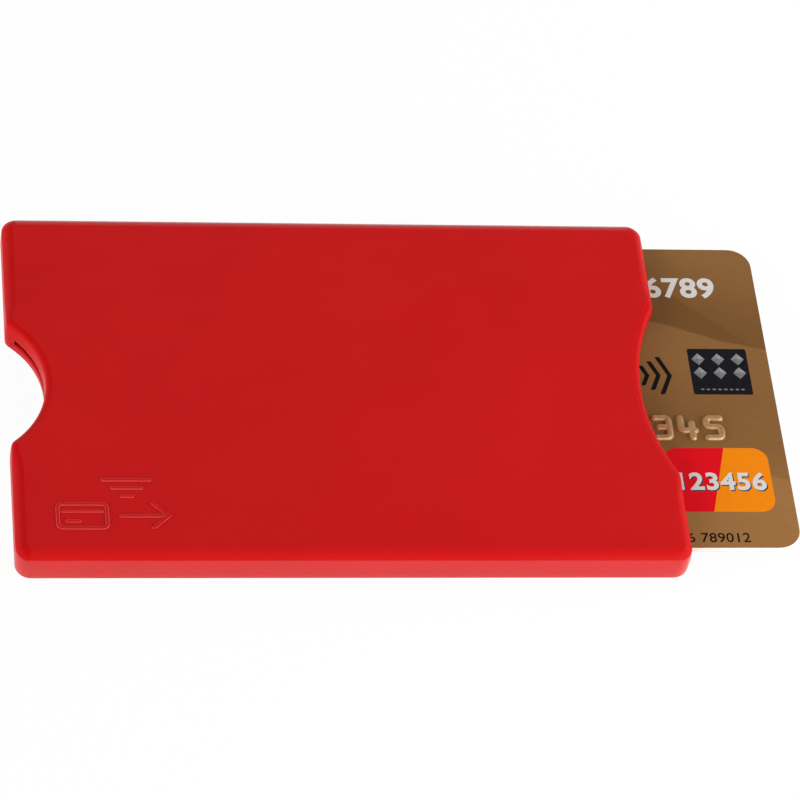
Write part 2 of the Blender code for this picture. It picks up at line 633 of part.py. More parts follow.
def coil_path():
    """The coil's centre line: a spiral of rounded rectangles that draws in by one pitch each turn."""
    z = CORE_TOP_Z - CHANNEL_DEPTH / 2
    points = [(COIL_START_X, COIL_OUTER_Y, z)]
    signs = ((-1, -1), (1, -1), (1, 1), (-1, 1))
    for corner in range(4 * COIL_TURNS):
        sign_x, sign_y = signs[corner % 4]
        start = math.pi + math.pi / 2 * corner
        for step in range(CORNER_STEPS + 1):
            from_edge = COIL_FROM_EDGE + COIL_PITCH * (corner + step / CORNER_STEPS) / 4
            centre_x = sign_x * (CARD_LENGTH / 2 - from_edge - COIL_CORNER_RADIUS)
            centre_y = sign_y * (CARD_WIDTH / 2 - from_edge - COIL_CORNER_RADIUS)
            angle = start + math.pi / 2 * step / CORNER_STEPS
            points.append((centre_x + COIL_CORNER_RADIUS * math.cos(angle),
                           centre_y + COIL_CORNER_RADIUS * math.sin(angle), z))
    inner_x = COIL_START_X + COIL_PITCH * COIL_TURNS
    points.append((inner_x, COIL_INNER_Y + COIL_PITCH, z))
    points.append((inner_x + COIL_PITCH, COIL_INNER_Y, z))
    points.append((LEAD_END_X, COIL_INNER_Y, z))
    return points


def make_antenna(parts, cutters, slide, copper):
    """The wire coil in the core, and the strap that brings its outer end back to the chip."""
    curve = bpy.data.curves.new("card_antenna_coil", "CURVE")
    curve.dimensions = "3D"
    curve.bevel_depth = WIRE_DIAMETER / 2
    curve.bevel_resolution = 1
    curve.use_fill_caps = True
    path = coil_path()
    spline = curve.splines.new("POLY")
    spline.points.add(len(path) - 1)
    for point, place in zip(spline.points, path):
        point.co = (*place, 1.0)
    curve.materials.append(copper)
    coil = bpy.data.objects.new("card_antenna_coil", curve)
    parts.objects.link(coil)
    coil.parent = slide

    z_low = CORE_BOTTOM_Z + BOND_FILM
    half = STRAP_WIDTH / 2
    strap_mesh = box_mesh(
        "card_antenna_strap", COIL_START_X - half, LEAD_END_X + half, COIL_OUTER_Y - half,
        COIL_OUTER_Y + half, z_low, z_low + STRAP_THICKNESS
    )
    strap = new_object("card_antenna_strap", strap_mesh, parts, slide)
    strap.data.materials.append(copper)
    tops = (
        ("outer_post", COIL_START_X, CORE_TOP_Z - CHANNEL_DEPTH),
        ("inner_post", LEAD_END_X, CORE_TOP_Z - WIRE_CLEARANCE),
    )
    for name, x, top in tops:
        post = post_mesh(name, x, COIL_OUTER_Y, z_low + STRAP_THICKNESS / 2, top, POST_RADIUS)
        combine(strap, new_object(name, post, cutters, slide), "UNION")


def make_chip(parts, cutters, slide, gold, tape_colour, resin_colour, silicon):
    """The chip module: contact plate on its carrier tape, with the die in a block of resin below."""
    outline = module_outline(MODULE_LENGTH, MODULE_WIDTH, MODULE_CORNER_RADIUS, 0.0)
    tape_top = CORE_TOP_Z + TAPE_THICKNESS
    make_card_plate("chip_contact_plate", outline, tape_top, CARD_THICKNESS, parts, slide, gold)
    make_card_plate("chip_carrier_tape", outline, CORE_TOP_Z, tape_top, parts, slide, tape_colour)
    resin_outline = module_outline(RESIN_SIZE, RESIN_SIZE, RESIN_CORNER_RADIUS, 0.0)
    resin = make_card_plate(
        "chip_resin", resin_outline, CORE_TOP_Z - RESIN_THICKNESS, CORE_TOP_Z, parts, slide, resin_colour
    )
    half_length = DIE_LENGTH / 2
    half_width = DIE_WIDTH / 2
    bottom = CORE_TOP_Z - BOND_FILM - DIE_THICKNESS
    pocket = box_mesh(
        "die_pocket", MODULE_X - half_length - BOND_FILM, MODULE_X + half_length + BOND_FILM,
        MODULE_Y - half_width - BOND_FILM, MODULE_Y + half_width + BOND_FILM, bottom - BOND_FILM,
        CORE_TOP_Z + OVERRUN
    )
    cut_card(resin, "die_pocket", pocket, cutters, slide)
    die = box_mesh(
        "chip_die", MODULE_X - half_length, MODULE_X + half_length, MODULE_Y - half_width,
        MODULE_Y + half_width, bottom, bottom + DIE_THICKNESS
    )
    new_object("chip_die", die, parts, slide).data.materials.append(silicon)


def make_skins(parts, slide, stripe_colour, panel_colour, patch_colour):
    """The magnetic stripe and signature panel in the card's back, and the patch in its front."""
    make_card_plate(
        "card_magnetic_stripe", stripe_outline(0.0, 0.0), 0.0, SKIN_THICKNESS, parts, slide, stripe_colour
    )
    make_card_plate(
        "card_signature_panel", panel_outline(0.0), 0.0, SKIN_THICKNESS, parts, slide, panel_colour
    )
    make_card_plate(
        "card_foil_patch", patch_outline(0.0), CARD_THICKNESS - SKIN_THICKNESS, CARD_THICKNESS, parts, slide,
        patch_colour
    )


def build():
    """Clear the scene and make the whole object."""
    for old in list(bpy.data.objects):
        bpy.data.objects.remove(old, do_unlink=True)
    parts = bpy.data.collections.new("card_holder")
    cutters = bpy.data.collections.new("cutters")
    bpy.context.scene.collection.children.link(parts)
    bpy.context.scene.collection.children.link(cutters)

    red = plastic("red_plastic", (0.52, 0.012, 0.014), 0.38)
    foil_metal = plastic("shield_foil", (0.80, 0.81, 0.82), 0.30, 1.0)
    printed = plastic("gold_print", (0.22, 0.12, 0.045), 0.34, 0.3)
    white = plastic("white_core", (0.82, 0.80, 0.76), 0.55)
    copper = plastic("copper", (0.75, 0.32, 0.16), 0.30, 1.0)
    gold = plastic("gold_contact", (0.83, 0.62, 0.26), 0.25, 1.0)
    tape_colour = plastic("carrier_tape", (0.30, 0.24, 0.10), 0.60)
    resin_colour = plastic("black_resin", (0.02, 0.02, 0.022), 0.50)
    silicon = plastic("silicon", (0.12, 0.13, 0.16), 0.20, 0.6)
    stripe_colour = plastic("stripe_black", (0.012, 0.011, 0.011), 0.30)
    panel_colour = plastic("panel_white", (0.80, 0.79, 0.74), 0.70)
    patch_colour = plastic("patch_dark", (0.02, 0.018, 0.03), 0.25)

    slot = slot_cutter(cutters)
    lead_in = lead_in_cutter(cutters)
    make_front_shell(parts, cutters, slot, lead_in, red)
    make_back_cover(parts, cutters, lead_in, red)
    make_foils(parts, foil_metal)

    slide = bpy.data.objects.new("card_slide", None)
    slide.location = (CARD_CENTRE_X, CARD_SIDE_SHIFT, CARD_BOTTOM_Z)
    parts.objects.link(slide)
    make_sheets(parts, cutters, slide, printed, white)
    make_antenna(parts, cutters, slide, copper)
    make_chip(parts, cutters, slide, gold, tape_colour, resin_colour, silicon)
    make_skins(parts, slide, stripe_colour, panel_colour, patch_colour)


build()
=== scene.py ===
import math

import bmesh
import bpy
from mathutils import Matrix, Vector


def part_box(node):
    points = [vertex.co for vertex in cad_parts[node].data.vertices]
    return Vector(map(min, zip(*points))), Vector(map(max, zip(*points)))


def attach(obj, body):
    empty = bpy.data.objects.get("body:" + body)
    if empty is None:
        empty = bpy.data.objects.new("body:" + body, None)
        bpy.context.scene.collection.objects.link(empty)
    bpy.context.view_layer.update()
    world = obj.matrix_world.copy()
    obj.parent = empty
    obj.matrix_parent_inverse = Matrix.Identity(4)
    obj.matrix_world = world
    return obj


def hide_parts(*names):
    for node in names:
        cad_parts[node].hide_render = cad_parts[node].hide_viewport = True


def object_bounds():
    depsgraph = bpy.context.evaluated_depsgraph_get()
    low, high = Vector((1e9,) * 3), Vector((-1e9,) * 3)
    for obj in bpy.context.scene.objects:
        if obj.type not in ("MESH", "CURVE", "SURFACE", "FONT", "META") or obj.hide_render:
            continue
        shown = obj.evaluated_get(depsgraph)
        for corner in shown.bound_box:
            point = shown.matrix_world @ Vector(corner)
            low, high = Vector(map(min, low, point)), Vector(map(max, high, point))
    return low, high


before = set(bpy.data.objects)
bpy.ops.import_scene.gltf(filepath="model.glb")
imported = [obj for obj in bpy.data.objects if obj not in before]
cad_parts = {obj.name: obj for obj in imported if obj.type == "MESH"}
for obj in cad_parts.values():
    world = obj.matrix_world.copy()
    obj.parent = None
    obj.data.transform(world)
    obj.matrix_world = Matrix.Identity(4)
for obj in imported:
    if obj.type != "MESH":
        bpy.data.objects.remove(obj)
cad_low, cad_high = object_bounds()

# Front shell of the sleeve: front wall, long sides and closed end in one moulding of red ABS. The
# mould's faces are finely spark-eroded, so the plastic comes out satin, and duller on the rims of
# the two ends and in the notches, where its red is also painted a little darker as painted shade.
# The slot's edges are broken where the mouth's notch cuts them.
MM = 0.001
MOUTH_END = 1
END_X = 40 * MM
CORNER_Y = 27 * MM
SLOT_CEILING_Z = 3.05 * MM
THUMB_NOTCH_CENTRE = Vector((-53.75 * MM, 0))
THUMB_NOTCH_RADIUS = 13.25 * MM
THUMB_NOTCH_RIM = 2.0 * MM
NOTCH_HALF_WIDTH = 24 * MM
NOTCH_ARC_STEP = 4 * MM
NOTCH_EDGE_BREAK = 0.09 * MM
WELD_GAP = 0.001 * MM
FLAT_ANGLE = math.radians(0.2)
SHARP_ANGLE = math.radians(32)
RIM_NORMAL_Z = 0.985
WALL_NORMAL_Z = 0.1
END_FACING = 0.1
RED_DEEP = (0.500, 0.0030, 0.0038, 1)
RED_BRIGHT = (0.560, 0.0042, 0.0050, 1)
RED_ROUGHNESS = (0.18, 0.26)
# The duller red is painted about 7 % darker than the face's red, as painted shade.
DULL_SHADED_DEEP = (0.465, 0.0030, 0.0038, 1)
DULL_SHADED_BRIGHT = (0.520, 0.0042, 0.0050, 1)
DULL_ROUGHNESS = (0.30, 0.38)
DULL_SHINE = 0.10
TINT_SCALE = 60
HANDLING_SCALE = 90
SPARK_SCALE = 2600
SPARK_DEPTH = 0.012 * MM
CLOUD_SPAN = (0.3, 0.7)


def add_node(finish, kind, inputs, **settings):
    """Add one node: inputs by name or number take a value or another node's output."""
    made = finish.node_tree.nodes.new(kind)
    for key, value in settings.items():
        setattr(made, key, value)
    for key, value in inputs.items():
        if isinstance(value, bpy.types.NodeSocket):
            finish.node_tree.links.new(value, made.inputs[key])
        else:
            made.inputs[key].default_value = value
    return made


def start_finish(name, roughness, metallic=0.0, shine=0.5):
    """Open a new material: the material, and coordinates in metres from the frame's origin."""
    finish = bpy.data.materials.new(name)
    finish.use_nodes = True
    shader = finish.node_tree.nodes["Principled BSDF"]
    shader.inputs["Roughness"].default_value = roughness
    shader.inputs["Metallic"].default_value = metallic
    shader.inputs["Specular IOR Level"].default_value = shine
    return finish, add_node(finish, "ShaderNodeTexCoord", {}).outputs["Object"]


def feed(finish, output, socket):
    """Join a node's output to one of the finish's main sockets."""
    shader = finish.node_tree.nodes["Principled BSDF"]
    finish.node_tree.links.new(output, shader.inputs[socket])


def cloud(finish, place, scale, detail=2.0, roughness=0.5):
    """A soft random pattern from 0 to 1, with scale patches to the metre."""
    inputs = {"Vector": place, "Scale": scale, "Detail": detail, "Roughness": roughness}
    return add_node(finish, "ShaderNodeTexNoise", inputs).outputs["Fac"]


def remap(finish, value, source, target, smooth=False):
    """Stretch a value from one range to another and hold it at the ends."""
    inputs = {
        "Value": value, "From Min": source[0], "From Max": source[1],
        "To Min": target[0], "To Max": target[1]
    }
    kind = "SMOOTHSTEP" if smooth else "LINEAR"
    return add_node(finish, "ShaderNodeMapRange", inputs, interpolation_type=kind).outputs["Result"]


def draw_out(finish, place, scale, turn=0.0):
    """Turn a pattern about the upright axis, then stretch or squeeze it along each axis."""
    inputs = {"Vector": place, "Scale": scale, "Rotation": (0, 0, turn)}
    return add_node(finish, "ShaderNodeMapping", inputs).outputs["Vector"]


def blend_colours(finish, share, first, second):
    """Mix two colours by a share: sockets 0, 6 and 7 are the share and the two colours."""
    inputs = {0: share, 6: first, 7: second}
    return add_node(finish, "ShaderNodeMix", inputs, data_type="RGBA").outputs[2]


def colour_by(finish, pattern, first, second):
    """Colour the surface from one colour to another as a 0 to 1 pattern goes."""
    feed(finish, blend_colours(finish, pattern, first, second), "Base Color")


def dull_by(finish, pattern, roughness):
    """Vary the roughness between two values as a cloud pattern goes."""
    feed(finish, remap(finish, pattern, CLOUD_SPAN, roughness), "Roughness")


def roughen(finish, height, depth, strength=1.0):
    """Give the surface a relief that follows a 0 to 1 pattern, depth metres deep."""
    inputs = {"Height": height, "Distance": depth, "Strength": strength}
    feed(finish, add_node(finish, "ShaderNodeBump", inputs).outputs["Normal"], "Normal")


def round_over(bm, geom, size, segments, affect="EDGES"):
    """Round edges or corners over and give back what the bevel made."""
    return bmesh.ops.bevel(
        bm, geom=geom, offset=size, offset_type="OFFSET", segments=segments, profile=0.5,
        affect=affect, clamp_overlap=affect == "EDGES", material=-1
    )


def put_out(bm, name, finish, body, smooth=True):
    """Close a bmesh into a named piece that rides on a body."""
    mesh = bpy.data.meshes.new(name)
    bm.to_mesh(mesh)
    bm.free()
    stale = mesh.attributes.get("custom_normal")
    if stale:
        mesh.attributes.remove(stale)
    mesh.materials.append(finish)
    if smooth:
        mesh.shade_smooth()
        mesh.set_sharp_from_angle(angle=SHARP_ANGLE)
    else:
        mesh.shade_flat()
    piece = bpy.data.objects.new(name, mesh)
    bpy.context.scene.collection.objects.link(piece)
    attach(piece, body)
    return piece


def welded_copy(node):
    """A CAD node's loose triangles welded together, with its flats as single faces."""
    bm = bmesh.new()
    bm.from_mesh(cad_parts[node].data)
    bmesh.ops.remove_doubles(bm, verts=bm.verts, dist=WELD_GAP)
    bmesh.ops.dissolve_limit(bm, angle_limit=FLAT_ANGLE, verts=bm.verts, edges=bm.edges)
    return bm


def break_notch_edges(bm, end, z, size):
    """Round the slot's sharp edges over at one height, where the notch of one end cuts them."""
    level = [
        edge for edge in bm.edges
        if edge.is_manifold and edge.calc_face_angle() > SHARP_ANGLE
        and all(abs(vertex.co.z - z) < WELD_GAP for vertex in edge.verts)
        and all(end * vertex.co.x > END_X for vertex in edge.verts)
        and abs(edge.verts[0].co.y) < NOTCH_HALF_WIDTH
        and edge.calc_length() < NOTCH_ARC_STEP
    ]
    round_over(bm, level, size, segments=3)


def second_finish(piece, finish, chosen):
    """Give the faces that a test picks out a finish of their own."""
    piece.data.materials.append(finish)
    for face in piece.data.polygons:
        if chosen(face):
            face.material_index = 1


# The faces picked here get the duller red, painted darker as painted shade.
def is_dull_shaded_end(face):
    """Picks the rims of the two ends, without the corners' walls, and the notches' walls."""
    steep = abs(face.normal.z) < RIM_NORMAL_Z
    notched = (face.center.xy - THUMB_NOTCH_CENTRE).length < THUMB_NOTCH_RADIUS + THUMB_NOTCH_RIM
    endward = abs(face.center.x) > END_X and abs(face.normal.x) > END_FACING * abs(face.normal.y)
    cornered = abs(face.center.y) > CORNER_Y and abs(face.normal.z) < WALL_NORMAL_Z
    return steep and (notched or endward and not cornered)


def even_shading(piece):
    """Let the large flats set the shading, so that they stay flat beside their roundings."""
    modifier = piece.modifiers.new("even_shading", "WEIGHTED_NORMAL")
    modifier.weight = 100
    modifier.keep_sharp = True


def red_abs(name, deep, bright, roughness, shine=0.5):
    """Red ABS with a spark-eroded grain, handled a little smoother in places."""
    finish, place = start_finish(name, roughness[0], shine=shine)
    colour_by(finish, cloud(finish, place, TINT_SCALE, detail=3.0), deep, bright)
    handled = draw_out(finish, place, scale=(1, 2.2, 1), turn=0.5)
    dull_by(finish, cloud(finish, handled, HANDLING_SCALE, detail=4.0, roughness=0.6), roughness)
    roughen(finish, cloud(finish, place, SPARK_SCALE), SPARK_DEPTH)
    return finish


red_plastic = red_abs("red_plastic", RED_DEEP, RED_BRIGHT, RED_ROUGHNESS)
# A duller red for the ends' rims and the notches, painted darker as painted shade.
dull_shaded_red = red_abs("dull_shaded_red_plastic", DULL_SHADED_DEEP, DULL_SHADED_BRIGHT, DULL_ROUGHNESS, DULL_SHINE)

shell = welded_copy("front_shell")
break_notch_edges(shell, MOUTH_END, SLOT_CEILING_Z, NOTCH_EDGE_BREAK)
front_shell = put_out(shell, "sleeve_front_shell", red_plastic, "holder")
# The ends' rims and notch walls take the duller red with its painted shade.
second_finish(front_shell, dull_shaded_red, is_dull_shaded_end)
even_shading(front_shell)
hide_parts("front_shell")

# Lip round the thumb notch: a low rib of the same red ABS under the front wall, moulded with the
# shell, that stiffens the notch's edge and narrows the slot there. The card still passes below it.
LIP_WIDTH = 0.70 * MM
LIP_FOOT_Z = 2.56 * MM
LIP_REACH = math.radians(43.9)
LIP_STEPS = 40


def flat_square(bm, matrix):
    """A unit square face that a matrix sizes, turns and places: its corners."""
    return bmesh.ops.create_grid(bm, x_segments=1, y_segments=1, size=0.5, matrix=matrix)["verts"]


lip = bmesh.new()
turned = Matrix.Translation((THUMB_NOTCH_CENTRE.x, 0, 0)) @ Matrix.Rotation(-LIP_REACH, 4, "Z")
out = Matrix.Translation((THUMB_NOTCH_RADIUS + LIP_WIDTH / 2, 0, (LIP_FOOT_Z + SLOT_CEILING_Z) / 2))
upright = Matrix.Rotation(math.pi / 2, 4, "X")
section_size = Matrix.Diagonal((LIP_WIDTH, SLOT_CEILING_Z - LIP_FOOT_Z, 1, 1))
flat_square(lip, turned @ out @ upright @ section_size)
bmesh.ops.spin(
    lip, geom=lip.faces[:] + lip.edges[:] + lip.verts[:], cent=(THUMB_NOTCH_CENTRE.x, 0, 0),
    axis=(0, 0, 1), angle=2 * LIP_REACH, steps=LIP_STEPS, use_merge=False, use_duplicate=False
)
bmesh.ops.holes_fill(lip, edges=[edge for edge in lip.edges if edge.is_boundary], sides=4)
bmesh.ops.recalc_face_normals(lip, faces=lip.faces)
foot_edges = [
    edge for edge in lip.edges
    if all(abs(vertex.co.z - LIP_FOOT_Z) < WELD_GAP for vertex in edge.verts)
    and all(
        (vertex.co.xy - THUMB_NOTCH_CENTRE).length < THUMB_NOTCH_RADIUS + WELD_GAP
        for vertex in edge.verts
    )
]
round_over(lip, foot_edges, NOTCH_EDGE_BREAK, segments=2)
# The lip takes the duller red, painted darker as painted shade.
put_out(lip, "sleeve_notch_lip", dull_shaded_red, "holder")

# Back cover: a flat plate of the same red ABS, let into the shell's back and glued all round, with
# a tongue along each long edge. Its outer face lies flush with the shell, and its inner edge is
# rounded off at the thumb notch, to lead a finger in under the card.
CLOSED_END = -1
SLOT_FLOOR_Z = 1.70 * MM
THUMB_LEAD_IN = 0.35 * MM
cover = welded_copy("back_cover")
break_notch_edges(cover, MOUTH_END, SLOT_FLOOR_Z, NOTCH_EDGE_BREAK)
break_notch_edges(cover, CLOSED_END, SLOT_FLOOR_Z, THUMB_LEAD_IN)
back_cover = put_out(cover, "sleeve_back_cover", red_plastic, "holder")
# The cover's end rims and notch walls take the duller red, painted darker as painted shade.
second_finish(back_cover, dull_shaded_red, is_dull_shaded_end)
even_shading(back_cover)
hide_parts("back_cover")

# Raised sign on the shell's front: a card outline with its stripe and chip, an arrow for the way
# it slides, and three bars above. It is moulded with the shell, so it stands proud of the face in
# the same red ABS, and its rounded edges are painted a paler red as a painted highlight.
SIGN_PROUD = 0.14 * MM
SIGN_SUNK = 0.05 * MM
SIGN_BASE_Z = cad_high.z - SIGN_SUNK
SIGN_ROUNDING = 0.12 * MM
SIGN_STROKE = 0.55 * MM
STRIPE_STROKE = 0.8 * SIGN_STROKE
HEAD_STROKE = 1.35 * SIGN_STROKE
STROKE_END_ROUND = 0.45
ARM_END_ROUND = 0.3
SIGN_CARD = (-40.0 * MM, -32.9 * MM, -25.6 * MM, -21.05 * MM)
SIGN_CARD_CORNER = 0.9 * MM
SIGN_CARD_STRIPE = (-39.1 * MM, -33.8 * MM, -22.55 * MM)
SIGN_CARD_CHIP = (-38.5 * MM, -36.9 * MM, -24.2 * MM)
ARROW_SHAFT = (-31.3 * MM, -25.6 * MM, -23.3 * MM)
ARROW_SHAFT_PROUD = 0.9 * SIGN_PROUD
ARROW_TIP = (-24.6 * MM, -23.3 * MM)
ARROW_REACH = 2.15 * MM
ARROW_LEAN = 1.0
BARS_MIDDLE_X = -30.4 * MM
BARS = ((0.7 * MM, -20.0 * MM), (1.9 * MM, -18.6 * MM), (3.1 * MM, -17.2 * MM))
# A paler red on the sign's rounded edges: a painted highlight.
SIGN_HIGHLIGHT_DEEP = (0.51, 0.010, 0.010, 1)
SIGN_HIGHLIGHT_BRIGHT = (0.59, 0.075, 0.070, 1)


def only(items, kind):
    """The items of one kind: corners, edges or faces."""
    return [item for item in items if isinstance(item, kind)]


def level_panel(bm, sides, radius, z, segments=5):
    """A flat face with round corners: its sides are the lower and upper X, then Y."""
    x_low, x_high, y_low, y_high = sides
    centre = Matrix.Translation(((x_low + x_high) / 2, (y_low + y_high) / 2, z))
    corners = flat_square(bm, centre @ Matrix.Diagonal((x_high - x_low, y_high - y_low, 1, 1)))
    rounded = round_over(bm, corners, radius, segments, "VERTICES")
    return rounded["verts"][0].link_faces[0]


def outline_only(bm, face, width):
    """Keep a border of a face and drop its middle."""
    border = bmesh.ops.inset_region(
        bm, faces=[face], thickness=width, use_even_offset=True, use_boundary=True
    )
    bmesh.ops.delete(bm, geom=[face], context="FACES_ONLY")
    return border["faces"]


def level_stroke(bm, x_low, x_high, y, width, z):
    """A flat bar along X with round ends, between the middles of its ends."""
    reach = width / 2
    sides = (x_low - reach, x_high + reach, y - reach, y + reach)
    return level_panel(bm, sides, width * STROKE_END_ROUND, z, segments=4)


def chevron(bm, tip, reach, lean, width, z):
    """A flat arrowhead along X: one arm, which leans back from the tip, and its mirrored copy."""
    before = set(bm.faces)
    shear = Matrix.Identity(4)
    shear[0][1] = -lean
    centre = Matrix.Translation((*tip, z))
    arm = Matrix.Translation((-width / 2, reach / 2, 0)) @ Matrix.Diagonal((width, reach, 1, 1))
    corners = flat_square(bm, centre @ shear @ arm)
    ends = [vertex for vertex in corners if vertex.co.y > tip[1] + reach / 2]
    round_over(bm, ends, width * ARM_END_ROUND, segments=4, affect="VERTICES")
    arms = [face for face in bm.faces if face not in before]
    copied = bmesh.ops.duplicate(bm, geom=arms)["geom"]
    mirrored = only(copied, bmesh.types.BMVert)
    bmesh.ops.scale(bm, vec=(1, -1, 1), space=centre.inverted(), verts=mirrored)
    bmesh.ops.reverse_faces(bm, faces=only(copied, bmesh.types.BMFace))
    bmesh.ops.remove_doubles(bm, verts=bm.verts, dist=WELD_GAP)
    return [face for face in bm.faces if face not in before]


def thicken(bm, faces, height, rounding=0.0):
    """Raise flat faces into solids and round their upper edges."""
    risen = bmesh.ops.extrude_face_region(bm, geom=faces)["geom"]
    bmesh.ops.translate(bm, verts=only(risen, bmesh.types.BMVert), vec=(0, 0, height))
    if rounding > 0:
        tops = set(only(risen, bmesh.types.BMFace))
        rims = [edge for edge in bm.edges if len(tops.intersection(edge.link_faces)) == 1]
        round_over(bm, rims, rounding, segments=3)
    bmesh.ops.recalc_face_normals(bm, faces=bm.faces)


def is_highlit_edge(face):
    """Picks a sign's rounded upper edges, which get the painted highlight."""
    return WALL_NORMAL_Z < face.normal.z < RIM_NORMAL_Z


# The painted highlight for the sign's edges, in a paler red.
highlight_red = red_abs("painted_highlight_red_plastic", SIGN_HIGHLIGHT_DEEP, SIGN_HIGHLIGHT_BRIGHT, DULL_ROUGHNESS)

card_sign = bmesh.new()
panel = level_panel(card_sign, SIGN_CARD, SIGN_CARD_CORNER, SIGN_BASE_Z)
faces = outline_only(card_sign, panel, SIGN_STROKE)
faces.append(level_stroke(card_sign, *SIGN_CARD_STRIPE, STRIPE_STROKE, SIGN_BASE_Z))
faces.append(level_stroke(card_sign, *SIGN_CARD_CHIP, SIGN_STROKE, SIGN_BASE_Z))
thicken(card_sign, faces, SIGN_SUNK + SIGN_PROUD, SIGN_ROUNDING)

arrow_sign = bmesh.new()
shaft = level_stroke(arrow_sign, *ARROW_SHAFT, SIGN_STROKE, SIGN_BASE_Z)
thicken(arrow_sign, [shaft], SIGN_SUNK + ARROW_SHAFT_PROUD, SIGN_ROUNDING)
head = chevron(arrow_sign, ARROW_TIP, ARROW_REACH, ARROW_LEAN, HEAD_STROKE, SIGN_BASE_Z)
thicken(arrow_sign, head, SIGN_SUNK + SIGN_PROUD, SIGN_ROUNDING)

bars_sign = bmesh.new()
for half_length, y in BARS:
    left, right = BARS_MIDDLE_X - half_length, BARS_MIDDLE_X + half_length
    bar = level_stroke(bars_sign, left, right, y, SIGN_STROKE, SIGN_BASE_Z)
    thicken(bars_sign, [bar], SIGN_SUNK + SIGN_PROUD, SIGN_ROUNDING)

for name, sign in (
    ("raised_card_sign", card_sign), ("raised_arrow_sign", arrow_sign), ("raised_bars_sign", bars_sign)
):
    raised = put_out(sign, name, red_plastic, "holder")
    # Its rounded edges take the painted highlight.
    second_finish(raised, highlight_red, is_highlit_edge)

# Shielding foils: aluminium foil a tenth of a millimetre thick, glued into a shallow recess in
# each wall. Glue and handling leave it faintly crinkled.
FOIL_DULL = (0.70, 0.71, 0.73, 1)
FOIL_BRIGHT = (0.86, 0.87, 0.88, 1)
FOIL_ROUGHNESS = (0.24, 0.40)
CREASE_SCALE = 420
CREASE_DEPTH = 0.05 * MM
ROLLED_SCALE = 260


def dress(finish, *nodes):
    """Give CAD nodes that are shown as they are their finish."""
    for node in nodes:
        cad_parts[node].material_slots[0].material = finish


shield_foil, place = start_finish("shield_foil", roughness=0.30, metallic=1.0)
cells = {"Vector": place, "Scale": CREASE_SCALE}
creases = add_node(shield_foil, "ShaderNodeTexVoronoi", cells, feature="DISTANCE_TO_EDGE")
rolled = draw_out(shield_foil, place, scale=(1, 30, 1))
rolled = cloud(shield_foil, rolled, ROLLED_SCALE, detail=3.0)
colour_by(shield_foil, rolled, FOIL_DULL, FOIL_BRIGHT)
dull_by(shield_foil, rolled, FOIL_ROUGHNESS)
roughen(shield_foil, creases.outputs["Distance"], CREASE_DEPTH, strength=0.5)
dress(shield_foil, "front_shield_foil", "back_shield_foil")

# Core of the card: a white PVC sheet that shows as a pale line round the card's edge, milled for
# the chip and with the antenna sunk in its upper face.
CORE_CREAM = (0.78, 0.70, 0.64, 1)
CORE_WHITE = (0.86, 0.80, 0.75, 1)
PUNCHED_SCALE = 900
PUNCHED_DEPTH = 0.01 * MM
white_core, place = start_finish("white_core", roughness=0.55)
punched = draw_out(white_core, place, scale=(1, 1, 0.1))
punched = cloud(white_core, punched, PUNCHED_SCALE, detail=3.0)
colour_by(white_core, punched, CORE_CREAM, CORE_WHITE)
roughen(white_core, punched, PUNCHED_DEPTH)
dress(white_core, "card_core")

# Antenna: enamelled copper wire laid in a spiral of three turns, and a copper strap under it that
# brings the outer end back to the chip.
COPPER_DARK = (0.62, 0.24, 0.11, 1)
COPPER_BRIGHT = (0.84, 0.40, 0.20, 1)
DRAWN_SCALE = 1800
DRAWN_DEPTH = 0.005 * MM
copper, place = start_finish("enamelled_copper", roughness=0.26, metallic=1.0)
drawn = cloud(copper, place, DRAWN_SCALE, detail=3.0)
colour_by(copper, drawn, COPPER_DARK, COPPER_BRIGHT)
roughen(copper, drawn, DRAWN_DEPTH)
dress(copper, "card_antenna_coil", "card_antenna_strap")

# Chip's die: a thinned square of silicon, bonded to the carrier tape's underside and wired to the
# contacts through it. Its circuit shows as fine brickwork.
SILICON_DARK = (0.10, 0.11, 0.15, 1)
SILICON_PALE = (0.20, 0.19, 0.22, 1)
CIRCUIT_SCALE = 2400
silicon, place = start_finish("silicon", roughness=0.18, metallic=0.6)
circuit = add_node(silicon, "ShaderNodeTexBrick", {"Vector": place, "Scale": CIRCUIT_SCALE})
colour_by(silicon, circuit.outputs["Fac"], SILICON_DARK, SILICON_PALE)
dress(silicon, "chip_die")

# Chip's resin: black epoxy cast over the die and its wires on the underside of the tape, dull and
# grainy with its filler.
RESIN_BLACK = (0.012, 0.012, 0.014, 1)
RESIN_GREY = (0.035, 0.034, 0.036, 1)
FILLER_SCALE = 5200
FILLER_DEPTH = 0.01 * MM
chip_resin, place = start_finish("chip_resin", roughness=0.5)
filler = cloud(chip_resin, place, FILLER_SCALE, detail=3.0)
colour_by(chip_resin, filler, RESIN_BLACK, RESIN_GREY)
roughen(chip_resin, filler, FILLER_DEPTH)
dress(chip_resin, "chip_resin")

# Carrier tape: glass cloth in amber epoxy, which holds the contacts on one side and the die on
# the other, and is glued into the step milled in the core.
TAPE_BROWN = (0.20, 0.15, 0.05, 1)
TAPE_AMBER = (0.34, 0.28, 0.12, 1)
WEAVE_SCALE = 900
WEAVE_WAVER = 1.5
carrier_tape, place = start_finish("carrier_tape", roughness=0.6)
threads = {"Vector": place, "Scale": WEAVE_SCALE, "Distortion": WEAVE_WAVER}
weave = add_node(carrier_tape, "ShaderNodeTexWave", threads).outputs["Fac"]
colour_by(carrier_tape, weave, TAPE_BROWN, TAPE_AMBER)
dress(carrier_tape, "chip_carrier_tape")

